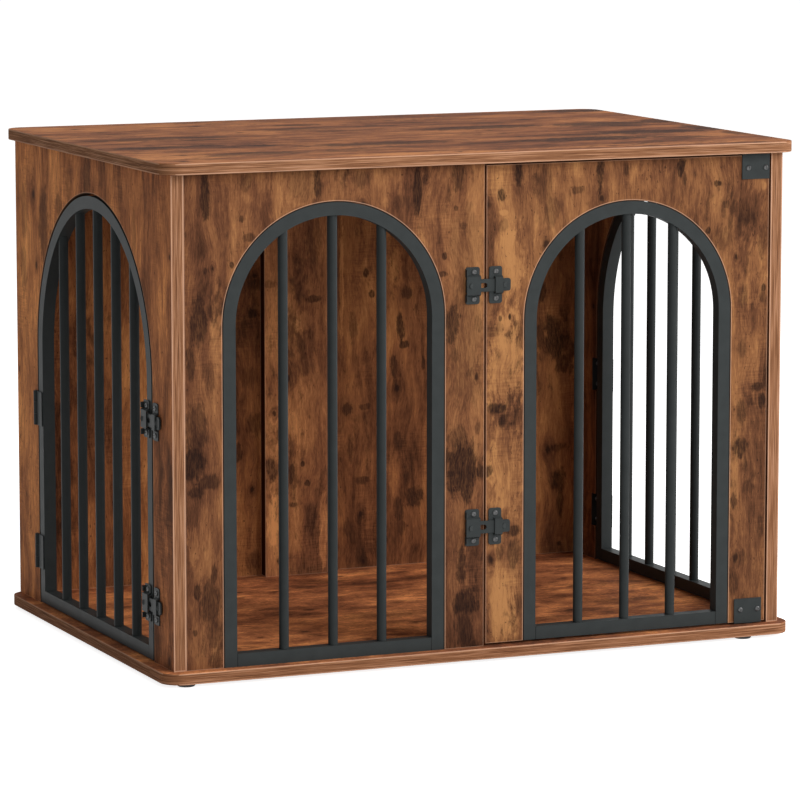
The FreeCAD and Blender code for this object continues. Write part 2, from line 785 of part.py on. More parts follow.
def bars(spots, middle, across, spring, radius, low, axis):
    """Round tubes on a rail, their tops coped to the inside of the arch."""
    inner = radius - s.tube
    foot = low + s.tube
    tall = spring + inner - foot
    tubes = []
    for x, y in spots:
        outside = rod("z", x, y, foot, s.bar_dia / 2, tall)
        bore = rod("z", x, y, foot, s.bar_dia / 2 - s.bar_wall, tall)
        tubes.append(cut(outside, bore))
    start = across - s.bar_dia
    deep = 2 * s.bar_dia
    if axis == "y":
        room = fuse(
            block(middle - inner, start, foot, 2 * inner, deep, spring - foot),
            rod("y", middle, start, spring, inner, deep),
        )
    else:
        room = fuse(
            block(start, middle - inner, foot, deep, 2 * inner, spring - foot),
            rod("x", start, middle, spring, inner, deep),
        )
    return common(group(tubes), room)


def front_frame(prefix, middle, spring, radius, pitch, low, tabs):
    body = new_body(prefix + "_frame")
    arch_frame(body, "+y", frame_y, middle, spring, radius, low)
    plates = []
    for side in (-1, 1):
        near = middle + side * (radius - s.tab_lap)
        far = near + side * s.tab_wide
        left, right = (near, far) if side > 0 else (far, near)
        for z in (s.tab_low, spring - s.tab_drop):
            plates.append(rectangle(left, z - s.tab_tall / 2, right, z + s.tab_tall / 2))
    pad(body, "+y", s.board, s.sheet_steel, *plates)
    drill(body, "+y", s.board, s.sheet_steel, [(x, z, pilot) for x, z in tabs])
    piece(body, prefix + "_frame")
    piece(front_rail(middle, radius, low), prefix + "_rail")
    across = frame_y + s.tube / 2
    spots = [(middle + step * pitch, across) for step in (-1, 0, 1)]
    piece(bars(spots, middle, across, spring, radius, low, "y"), prefix + "_bars")


front_frame(
    "front_grille", grille_x, grille_spring, s.grille_radius, s.grille_pitch, as_size(0),
    grille_tabs,
)
door_tabs = tab_spots(door_x, door_spring, s.door_radius)
front_frame(
    "front_door", door_x, door_spring, s.door_radius, s.door_pitch, door_low, door_tabs
)

# The front door's board.

body = new_body("front_door_panel")
pad(
    body,
    "+y",
    0,
    s.board,
    archway(
        door_left, door_right, door_high, door_x, door_spring,
        s.door_radius + s.frame_gap, door_low,
    ),
)
bracket_lefts = {
    "top": door_right - s.bracket_wide,
    "bottom": door_right - s.bracket_wide - s.bracket_shift,
}
bracket_rises = {
    "top": door_high - s.bracket_screw_drop,
    "bottom": door_low + s.bracket_screw_drop,
}
bracket_screws = {
    end: [
        (left + s.bracket_screw_in + step * s.bracket_screw_pitch, bracket_rises[end])
        for step in (0, 1)
    ]
    for end, left in bracket_lefts.items()
}
holes = [(x, z, pilot) for spots in bracket_screws.values() for x, z in spots]
holes += [
    (s.guide_screw_x, z + rise, pilot)
    for z in front_latches.values()
    for rise in (-s.latch_screw_rise, s.latch_screw_rise)
]
drill(body, "+y", 0, pilot_deep, holes)
drill(body, "-y", s.board, pilot_deep, [(x, z, pilot) for x, z in door_tabs])
piece(body, "front_door_panel")

# Pivot brackets folded over the door's ends, and the bushes that their pins turn in.

for end, left in bracket_lefts.items():
    sign = 1 if end == "top" else -1
    edge = door_high if end == "top" else door_low
    face_z = edge - s.bracket_tall if end == "top" else edge
    web_z = edge if end == "top" else edge - s.sheet_steel
    pin_long = s.door_end_gap + s.pin_in_bush
    pin_z = edge if end == "top" else edge - pin_long
    bracket = cut(
        fuse(
            block(left, -s.sheet_steel, face_z, s.bracket_wide, s.sheet_steel, s.bracket_tall),
            block(
                left, -s.sheet_steel, web_z, s.bracket_wide, s.board + s.sheet_steel,
                s.sheet_steel,
            ),
            rod("z", pivot_x, pivot_y, pin_z, s.pin_radius, pin_long),
        ),
        *[rod("y", x, -s.sheet_steel, z, pilot, s.sheet_steel) for x, z in bracket_screws[end]],
    )
    piece(bracket, f"{end}_pivot_bracket")
    face = s.body_height if end == "top" else as_size(0)
    bush_z = face if end == "top" else face - s.bush_deep
    flange_z = face - s.bush_flange if end == "top" else face
    bore_long = s.bush_flange + s.bush_deep - s.bush_end
    bore_z = flange_z if end == "top" else face + s.bush_flange - bore_long
    bush = cut(
        fuse(
            rod("z", pivot_x, pivot_y, bush_z, s.bush_radius, s.bush_deep),
            rod("z", pivot_x, pivot_y, flange_z, s.bush_flange_radius, s.bush_flange),
        ),
        rod("z", pivot_x, pivot_y, bore_z, s.pin_radius + s.pin_play, bore_long),
    )
    piece(bush, f"{end}_pivot_bush")
    screw_group["front_door"] += [
        ("front", (x, -s.sheet_steel, z)) for x, z in bracket_screws[end]
    ]

# Side doors: frame, rail and bars, one set for each side.


def side_door(side, sign):
    label = side + "_door"
    left = -half if sign < 0 else half - s.tube
    middle, radius, low = s.side_arch_y, s.side_radius, s.side_lift
    body = new_body(label + "_frame")
    arch_frame(body, "+x", 0, middle, side_spring, radius, low)
    way, at = ("+x", as_size(0)) if sign < 0 else ("-x", s.tube)
    holes = [
        (s.side_latch_y + s.keeper_screw_x, z + rise, pilot)
        for z in latch_heights.values()
        for rise in (-s.latch_screw_rise, s.latch_screw_rise)
    ]
    drill(body, way, at, s.tube_wall, holes)
    piece(body, label + "_frame", left)
    inner, wall = radius - s.tube, s.tube_wall
    hollow = s.tube - 2 * wall
    rail = cut(
        block(left, middle - inner, low, s.tube, 2 * inner, s.tube),
        block(left + wall, middle - inner, low + wall, hollow, 2 * inner, hollow),
    )
    piece(rail, label + "_rail")
    across = left + s.tube / 2
    spots = [(across, middle + step * s.side_pitch) for step in (-2, -1, 0, 1, 2)]
    piece(
        bars(spots, middle, across, side_spring, radius, low, "x"), label + "_bars"
    )


# Side hinges: a leaf with two knuckles and the pin on the board, and one with the middle knuckle
# on the door. Their own axes start at the pin, X towards the inside of the crate, Y to the back.


def board_leaf():
    half_tall = s.hinge_tall / 2
    start = s.knuckle_mid / 2 + s.knuckle_gap
    long = half_tall - start
    wall = s.hinge_notch - s.hinge_axis_in
    parts = [rod("z", 0, 0, -half_tall, s.hinge_pin_radius, s.hinge_tall)]
    for low in (start, -half_tall):
        parts.append(rod("z", 0, 0, low, s.knuckle_radius, long))
        parts.append(block(s.hinge_proud, 0, low, s.sheet_steel, wall, long))
    parts.append(
        block(s.hinge_proud, wall - s.sheet_steel, -half_tall, s.board, s.sheet_steel,
              s.hinge_tall)
    )
    holes = [
        rod("y", s.hinge_proud + s.board / 2, wall - s.sheet_steel, rise, pilot, s.sheet_steel)
        for rise in (-s.hinge_screw_rise, s.hinge_screw_rise)
    ]
    return cut(fuse(*parts), *holes)


def door_leaf():
    half_tall = s.hinge_tall / 2
    edge = -(s.hinge_axis_in + s.side_gap)
    far = -(s.knuckle_radius + s.leaf_clear)
    x = s.hinge_proud - s.sheet_steel
    mid = s.knuckle_mid
    return cut(
        fuse(
            block(x, edge - s.leaf_lap, -half_tall, s.sheet_steel, far - edge + s.leaf_lap,
                  s.hinge_tall),
            block(x, far, -mid / 2, s.sheet_steel, -far, mid),
            rod("z", 0, 0, -mid / 2, s.knuckle_radius, mid),
        ),
        rod("z", 0, 0, -mid / 2, s.hinge_pin_radius + s.hinge_play, mid),
    )


# Latches. Their own axes start on the board's face, at the seam: X along the bolt, towards the
# side that it withdraws to, and -Y out of the face.


def folded(out, rise, slope):
    """A strip folded up to a bridge, seen from its end: `rise` is the bridge's half width
    inside, `slope` the run of its flanks."""
    t, high = s.sheet_steel, s.plate_tall / 2
    low_in, low_out = rise + slope, rise + slope + t
    return [
        (0, -high, None),
        (0, -low_in, None),
        (-out, -rise, None),
        (-out, rise, None),
        (0, low_in, None),
        (0, high, None),
        (-t, high, None),
        (-t, low_out, None),
        (-out - t, rise + t, None),
        (-out - t, -rise - t, None),
        (-t, -low_out, None),
        (-t, -high, None),
    ]


def plate_corners():
    """Picks the four corner edges of a latch plate."""

    def wanted(edge):
        box = edge.BoundBox
        thin = box.YLength > box.XLength + box.ZLength
        return thin and abs(abs(box.Center.z) - s.plate_tall.value / 2) < 1e-4

    return wanted


def stop_bump(x, out):
    """A stop pressed out of the sheet: a round bump that stands up on its -X side and runs
    down to nothing on the other."""
    r, tall, sunk = s.bump_radius, s.bump_tall, s.sheet_steel / 4
    wedge = doc.addObject("Part::Wedge", "wedge")
    for prop, value in (
        ("Xmin", -2 * r), ("Ymin", -sunk), ("Zmin", -2 * r),
        ("X2min", -2 * r), ("Z2min", -2 * r),
        ("Xmax", r * 0.85), ("Ymax", tall), ("Zmax", 2 * r),
        ("X2max", r * -0.85), ("Z2max", 2 * r),
    ):
        wedge.setExpression(prop, value.text)
    place(wedge, x, -out, 0)
    wedge.Placement = Placement(wedge.Placement.Base, Rotation(Vector(1, 0, 0), 180))
    return common(wedge, rod("y", x, -out - 2 * tall, 0, r, 3 * tall))


def keeper(label, origin, turn):
    body = new_body(label + "_sheet")
    rise = s.bolt_tall / 2 + s.ear_tall + s.bolt_play
    pad(body, "+x", -s.keeper_far, s.keeper_wide, folded(bridge_out, rise, s.lip_tall / 2))
    soften(body, s.plate_corner, plate_corners())
    high = s.plate_tall / 2 - s.plate_corner
    lips = [
        block(-s.keeper_far, -s.sheet_steel - s.lip_tall, low, s.sheet_steel,
              s.lip_tall + s.sheet_steel / 2, s.lip_long)
        for low in (high - s.lip_long, -high)
    ]
    holes = [
        rod("y", -s.keeper_screw_x, -s.sheet_steel, z, pilot, s.sheet_steel)
        for z in (-s.latch_screw_rise, s.latch_screw_rise)
    ]
    bump = stop_bump(-s.keeper_bump_x, bridge_out + s.sheet_steel)
    piece(cut(fuse(body, bump, *lips), *holes), label, *origin, turn)


def guide(label, origin, turn):
    body = new_body(label + "_sheet")
    far = s.guide_near + s.guide_wide
    rise = s.bolt_tall / 2 + s.bolt_play
    pad(body, "+x", far - s.bridge_wide, s.bridge_wide,
        folded(bridge_out, rise, s.lip_tall / 2))
    high = s.plate_tall / 2
    pad(body, "+x", s.guide_near, s.guide_wide - s.bridge_wide,
        rectangle(-s.sheet_steel, -high, 0, high))
    soften(body, s.plate_corner, plate_corners())
    holes = [
        rod("y", s.guide_screw_x, -s.sheet_steel, z, pilot, s.sheet_steel)
        for z in (-s.latch_screw_rise, s.latch_screw_rise)
    ]
    piece(cut(body, *holes), label, *origin, turn)


def bolt(label, origin, turn):
    body = new_body(label + "_bar")
    half_tall = s.bolt_tall / 2
    ear_end = s.guide_near + s.guide_wide - s.bridge_wide - s.ear_gap - s.bolt_travel
    far, near, r = -s.bolt_far, s.bolt_long - s.bolt_far, s.bolt_corner
    ear_start, ear_high = ear_end - s.ear_long, half_tall + s.ear_tall
    pad(
        body,
        "-y",
        -bolt_out,
        s.bolt_thick,
        [
            (far, -half_tall, None),
            (ear_start, -half_tall, None),
            (ear_start, -ear_high, None),
            (ear_end, -ear_high, None),
            (ear_end, -half_tall, None),
            (near - r, -half_tall, arc(near - r, r - half_tall)),
            (near, r - half_tall, None),
            (near, half_tall - r, arc(near - r, half_tall - r)),
            (near - r, half_tall, None),
            (ear_end, half_tall, None),
            (ear_end, ear_high, None),
            (ear_start, ear_high, None),
            (ear_start, half_tall, None),
            (far, half_tall, None),
        ],
    )
    slot, r = s.slot_tall / 2, s.slot_tall / 2
    start, end = -s.slot_far + r, s.slot_long - s.slot_far - r
    pocket(
        body,
        "-y",
        -bolt_out,
        s.bolt_thick,
        [
            (start, -slot, None),
            (end, -slot, arc(end, 0)),
            (end, slot, None),
            (start, slot, arc(start, 0)),
        ],
    )
    bump_x = s.guide_near + s.guide_wide + s.bolt_play + s.bump_radius
    bump = stop_bump(bump_x, bolt_out + s.bolt_thick)
    piece(fuse(body, bump), label, *origin, turn)


def latch_screws(turn, origin, x):
    """The two screws of a latch plate."""
    return [
        (turn, moved(turn, origin, (x, -s.sheet_steel, z)))
        for z in (-s.latch_screw_rise, s.latch_screw_rise)
    ]


for name, z in front_latches.items():
    origin = (as_size(0), as_size(0), z)
    keeper(f"front_keeper_{name}", origin, "front")
    guide(f"front_latch_guide_{name}", origin, "front")
    bolt(f"front_bolt_{name}", origin, "front")
    screw_group["cabinet"] += latch_screws("front", origin, -s.keeper_screw_x)
    screw_group["front_door"] += latch_screws("front", origin, s.guide_screw_x)

for side, sign in (("left", -1), ("right", 1)):
    side_door(side, sign)
    for name, z in latch_heights.items():
        origin = (half * sign, s.side_latch_y, z)
        keeper(f"{side}_keeper_{name}", origin, side)
        guide(f"{side}_latch_guide_{name}", origin, side)
        bolt(f"{side}_bolt_{name}", origin, side)
        screw_group[f"{side}_door"] += latch_screws(side, origin, -s.keeper_screw_x)
        screw_group["cabinet"] += latch_screws(side, origin, s.guide_screw_x)
    turn = "front" if sign < 0 else "over"
    hinges = [
        ((half + s.hinge_proud) * sign, hinge_y, z) for z in hinge_heights.values()
    ]
    for label, leaf in ((f"{side}_hinge_leaves", board_leaf), (f"{side}_door_hinge_leaves",
                                                               door_leaf)):
        leaves = [place(leaf(), *spot, turn) for spot in hinges]
        piece(group(leaves), label)
    wall = s.hinge_notch - s.hinge_axis_in - s.sheet_steel
    for spot in hinges:
        for rise in (-s.hinge_screw_rise, s.hinge_screw_rise):
            head = moved(turn, spot, (s.hinge_proud + s.board / 2, wall, rise))
            screw_group["cabinet"].append(("front", head))

# The small pan-head screw, along +Y from under its head, and its copies.

for x, z in grille_tabs:
    screw_group["cabinet"].append(("back", (x, s.board + s.sheet_steel, z)))
for x, z in door_tabs:
    screw_group["front_door"].append(("back", (x, s.board + s.sheet_steel, z)))


def small_screw():
    body = new_body("small_screw")
    head, tip = s.screw_head_radius, s.screw_radius
    sketch = body.newObject("Sketcher::SketchObject", "profile")
    plane = next(f for f in body.Origin.OriginFeatures if f.Role == "XY_Plane")
    sketch.AttachmentSupport = [(plane, "")]
    sketch.MapMode = "FlatFace"
    draw(
        sketch,
        [[
            (0, -s.screw_head, None),
            (head * 0.7, -s.screw_head, None),
            (head, -s.screw_head / 2, None),
            (head, 0, None),
            (tip, 0, None),
            (tip, s.screw_long - tip, None),
            (0, s.screw_long, None),
        ]],
        [],
    )
    turned = body.newObject("PartDesign::Revolution", "turned")
    turned.Profile = sketch
    turned.ReferenceAxis = (sketch, ["V_Axis"])
    turned.Angle = 360
    a, b = s.screw_slot / 2, s.screw_slot_long / 2
    pocket(body, "+y", -s.screw_head, s.screw_slot_deep, [
        (-b, -a, None), (-a, -a, None), (-a, -b, None), (a, -b, None), (a, -a, None),
        (b, -a, None), (b, a, None), (a, a, None), (a, b, None), (-a, b, None),
        (-a, a, None), (-b, a, None),
    ])
    return body


def copies(master, spots):
    """Linked copies of one fixing, as a group of separate solids."""
    links = []
    for turn, (x, y, z) in spots:
        link = doc.addObject("App::Link", "copy")
        link.LinkedObject = master
        links.append(place(link, x, y, z, turn))
    return group(links)


screw = small_screw()
for name, spots in screw_group.items():
    piece(copies(screw, spots), f"{name}_screws")

# Hidden fixings: cam bolts and locks, dowels, base screws and batten screws.

top_z = s.body_height
cam_bolts, cam_locks, dowels, base_screws = [], [], [], []
for label in board_ends:
    axis, _, low, _ = board_ends[label]
    for x, y in cam_spots[label]:
        cam_z = top_z - s.cam_drop
        cam_bolts.append(
            rod("z", x, y, cam_z, s.cam_bolt_radius, s.cam_drop + s.slab_bite)
        )
        if axis == "x":
            behind = "front" in label
            start = s.board - s.cam_deep if behind else back_y
            lock = rod("y", x, start, cam_z, s.cam_radius, s.cam_deep)
        else:
            start = s.board - s.cam_deep - half if "left" in label else inner_x
            lock = rod("x", start, y, cam_z, s.cam_radius, s.cam_deep)
        slot = rod("z", x, y, cam_z - s.hole_play, cam_hole, s.cam_radius + s.cam_bolt_radius)
        cam_locks.append(cut(lock, slot))
    for x, y in dowel_spots[label]:
        dowels.append(rod("z", x, y, top_z - dowel_bite, s.dowel_radius, s.dowel_long))
    for x, y in base_spots[label]:
        base_screws.append(
            fuse(
                rod("z", x, y, -s.slab, s.base_head_radius, s.base_head),
                rod("z", x, y, -s.slab, s.base_screw_radius, s.base_screw_long),
            )
        )
for side, y, z in edge_dowels:
    x = -inner_x - s.edge_dowel_bite if side < 0 else inner_x + s.edge_dowel_bite - s.dowel_long
    dowels.append(rod("x", x, y, z, s.dowel_radius, s.dowel_long))
batten_screws = [
    fuse(
        rod("y", x, s.body_depth - s.post_screw_long, z, s.post_screw_radius, s.post_screw_long),
        rod("y", x, s.body_depth - s.post_screw_radius, z, 2 * s.post_screw_radius,
            s.post_screw_radius),
    )
    for x, z in post_screws
]
for label, things in (
    ("cam_bolts", cam_bolts),
    ("cam_locks", cam_locks),
    ("dowels", dowels),
    ("base_screws", base_screws),
    ("post_screws", batten_screws),
):
    piece(group(things), label)

# Nothing is written unless every object came out sound.

doc.recompute()
for thing in doc.Objects:
    if {"Invalid", "Error"} & set(thing.State):
        raise RuntimeError(f"{thing.Label} failed: {thing.State}")
for thing, base in cuts:
    if thing.Shape.Volume > base.Shape.Volume - 1e-3:
        raise RuntimeError(f"{thing.Label} ({thing.Name}) takes nothing off {base.Label}")
os.makedirs("parts", exist_ok=True)
for thing in pieces:
    shape = thing.Shape
    if shape.isNull() or not shape.isValid() or not shape.Solids:
        raise RuntimeError(f"{thing.Label} has no sound solid")
for thing in pieces:
    thing.Shape.exportStep(f"parts/{thing.Label}.step")
print(len(pieces), "pieces,", sum(len(p.Shape.Solids) for p in pieces), "solids")
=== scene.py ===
import math

import bpy
import numpy as np
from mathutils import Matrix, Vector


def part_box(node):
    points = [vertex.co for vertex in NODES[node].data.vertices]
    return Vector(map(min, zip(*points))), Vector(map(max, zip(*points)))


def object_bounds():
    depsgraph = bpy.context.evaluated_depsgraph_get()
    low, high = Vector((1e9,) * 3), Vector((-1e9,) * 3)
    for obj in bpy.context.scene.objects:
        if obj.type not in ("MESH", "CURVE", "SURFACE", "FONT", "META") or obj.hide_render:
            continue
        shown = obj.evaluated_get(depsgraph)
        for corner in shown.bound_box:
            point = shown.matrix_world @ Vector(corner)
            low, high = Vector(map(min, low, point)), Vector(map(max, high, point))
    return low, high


bl_info = {
    "name": "Dog crate end table",
    "version": (1, 0, 0),
    "blender": (4, 5, 0),
    "location": "View3D > Sidebar > Crate",
    "description": "Dresses the dog crate end table: laminated boards, black steel, fixings "
                   "and stage",
    "category": "Object",
}

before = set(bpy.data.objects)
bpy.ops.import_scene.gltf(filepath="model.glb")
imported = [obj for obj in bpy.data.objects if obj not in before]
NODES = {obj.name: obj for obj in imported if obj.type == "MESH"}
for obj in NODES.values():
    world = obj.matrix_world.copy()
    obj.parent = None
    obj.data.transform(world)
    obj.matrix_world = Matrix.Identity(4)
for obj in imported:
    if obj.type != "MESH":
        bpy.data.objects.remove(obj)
CAD_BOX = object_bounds()


def linear(text):
    """An sRGB hex value as linear red, green and blue."""
    values = [int(text[i:i + 2], 16) / 255 for i in (1, 3, 5)]
    return tuple(v / 12.92 if v <= 0.04045 else ((v + 0.055) / 1.055) ** 2.4 for v in values)


def colour(name, text, description):
    """A colour setting, with its default as an sRGB hex value."""
    return bpy.props.FloatVectorProperty(
        name=name, description=description, default=linear(text), subtype="COLOR", size=3,
        min=0, max=1,
    )


class CrateFinish(bpy.types.PropertyGroup):
    """The colours and grain of the crate's boards, steel and plastic."""

    shade: colour("Dark brown", "#3f291d", "Darkest ordinary tone of the wood print")
    brown: colour("Brown", "#6a452f", "Middle tone of the wood print")
    tan: colour("Tan", "#8a5d3c", "Light tone of the wood print")
    gold: colour("Gold", "#b27f50", "Lightest streaks of the wood print")
    # Also the colour of the painted shadow in the gap round an arch's frame.
    stain: colour("Stain", "#261b17", "Stains and knots of the wood print")
    band: colour("Edge band", "#8f6447", "Edge banding of the boards")
    # The rim also stands for a painted arris highlight along the boards' edges.
    rim: colour("Rim", "#c79c80", "Pale trimmed rim of the laminate")
    steel: colour("Powder coat", "#2f3232", "Black powder coat of the steel")
    streak_width: bpy.props.FloatProperty(
        name="Streak width", description="Width of the broad streaks in the wood print",
        default=0.026, min=0.005, max=0.1, unit="LENGTH",
    )
    grain_width: bpy.props.FloatProperty(
        name="Grain width", description="Width of the fine grain lines in the wood print",
        default=0.0014, min=0.0005, max=0.01, unit="LENGTH",
    )


class CrateStage(bpy.types.PropertyGroup):
    """The floor, the lamps and the camera."""

    floor: colour("Floor", "#e8e8e8", "Pale studio floor")
    key: bpy.props.FloatProperty(
        name="Key lamp", description="Power of the large lamp at the front right",
        default=165, min=0, unit="POWER",
    )
    front: bpy.props.FloatProperty(
        name="Front lamp",
        description="Power of the lamp beside the camera, which reaches inside",
        default=95, min=0, unit="POWER",
    )
    side: bpy.props.FloatProperty(
        name="Side lamp", description="Power of the lamp at the right, which reaches inside",
        default=120, min=0, unit="POWER",
    )
    fill: bpy.props.FloatProperty(
        name="Fill lamp", description="Power of the lamp at the left",
        default=12, min=0, unit="POWER",
    )
    top: bpy.props.FloatProperty(
        name="Top lamp", description="Power of the lamp overhead", default=50, min=0,
        unit="POWER",
    )
    room: bpy.props.FloatProperty(
        name="Room light", description="Strength of the even light from all sides",
        default=0.22, min=0,
    )
    lens: bpy.props.FloatProperty(
        name="Lens", description="Focal length of the camera on a 36 mm sensor",
        default=197.95, min=10,
    )


def add(tree, kind, *values, out=0, stops=(), **settings):
    """Adds a node, its kind followed by its operation, with its settings and colour stops. Its
    sockets take values or links in their order, and by name or number from `named`. Gives one
    output, or the node itself if it has none."""
    kind, _, operation = kind.partition(".")
    made = tree.nodes.new("ShaderNode" + kind)
    named = settings.pop("named", {})
    if operation:
        made.operation = operation
    for name, value in settings.items():
        setattr(made, name, value)
    for number, (at, tone) in enumerate(stops):
        ramp = made.color_ramp.elements
        stop = ramp[number] if number < len(ramp) else ramp.new(at)
        stop.position, stop.color = at, (*tone, 1)
    for key, value in (*enumerate(values), *named.items()):
        if isinstance(value, bpy.types.NodeSocket):
            tree.links.new(value, made.inputs[key])
        elif value is not None:
            made.inputs[key].default_value = value
    return made.outputs[out] if len(made.outputs) else made


def blank(name):
    """An empty material and its node tree."""
    material = bpy.data.materials.new(name)
    material.use_nodes = True
    material.node_tree.nodes.clear()
    return material, material.node_tree


def give(material, *names):
    """Puts a material on CAD nodes."""
    for name in names:
        slots = NODES[name].data.materials
        if not slots:
            slots.append(material)
        for number in range(len(slots)):
            slots[number] = material


# How a board's print is laid: the turn that brings its grain upright and its thickness to Y,
# and the axis that it faces along.
FRONT = ((0, 0, 0), "Y")
SIDE = ((0, 0, math.pi / 2), "X")
LENGTHWISE = ((-math.pi / 2, -math.pi / 2, 0), "Z")

# In m: the square tube, and the gap round the frame in a front board and in a side board.
TUBE = 0.016
FRONT_GAP = 0.0008
SIDE_GAP = 0.0033

# In m: the pale rim's width on a face, the rim partly a painted arris highlight; the distances
# past an arch's edge between which its pale line and the painted shadow in its gap fade in; and
# those from a rail's end for the painted shade line there.
RIM_WIDTH = 0.0008
ARCH_LINE = (0.0018, 0.0012)
ARCH_GAP = (0.0009, 0.0005)
SEAM_SHADE = (0.0012, 0.0006)

# The Specular IOR Level of the foil and the powder coat, where 0.5 is a plain gloss. Both are
# low, so that the white studio leaves no haze on them at a flat angle.
FOIL_GLOSS = 0.012
COAT_GLOSS = 0.06

# Painted shade on the round bars: their tone as a share of the tubes'.
BAR_SHADE = 0.78

# The lamps: each one's setting, its place and its width in m.
LAMPS = (
    ("key", (2.4, -3.9, 3.2), 2.4),
    ("front", (0.3, -5.5, 1.7), 1.6),
    ("side", (4.2, -1.4, 1.9), 2.0),
    ("fill", (-4.6, -2.4, 2.2), 3.0),
    ("top", (0.3, 0.2, 4.2), 3.5),
)

# The floor's half width in m, and how brightly its paper shows where it is looked at.
FLOOR_REACH = 40.0
PAPER_GLOW = 0.85

# The camera's place in m, its turn from straight ahead and its tilt downwards, in radians.
CAMERA_AT = (-2.2228, -5.1555, 1.0851)
CAMERA_TURN = 0.40851
CAMERA_TILT = math.radians(8.062)


def arch_of(prefix, gap, along):
    """A board's arch: its axis, middle, spring and radius, from the frame that stands in it and
    the rail between that frame's feet."""
    low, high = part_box(prefix + "_rail")
    radius = (high[along] - low[along]) / 2 + TUBE
    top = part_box(prefix + "_frame")[1][2]
    return along, (high[along] + low[along]) / 2, top - radius, radius + gap
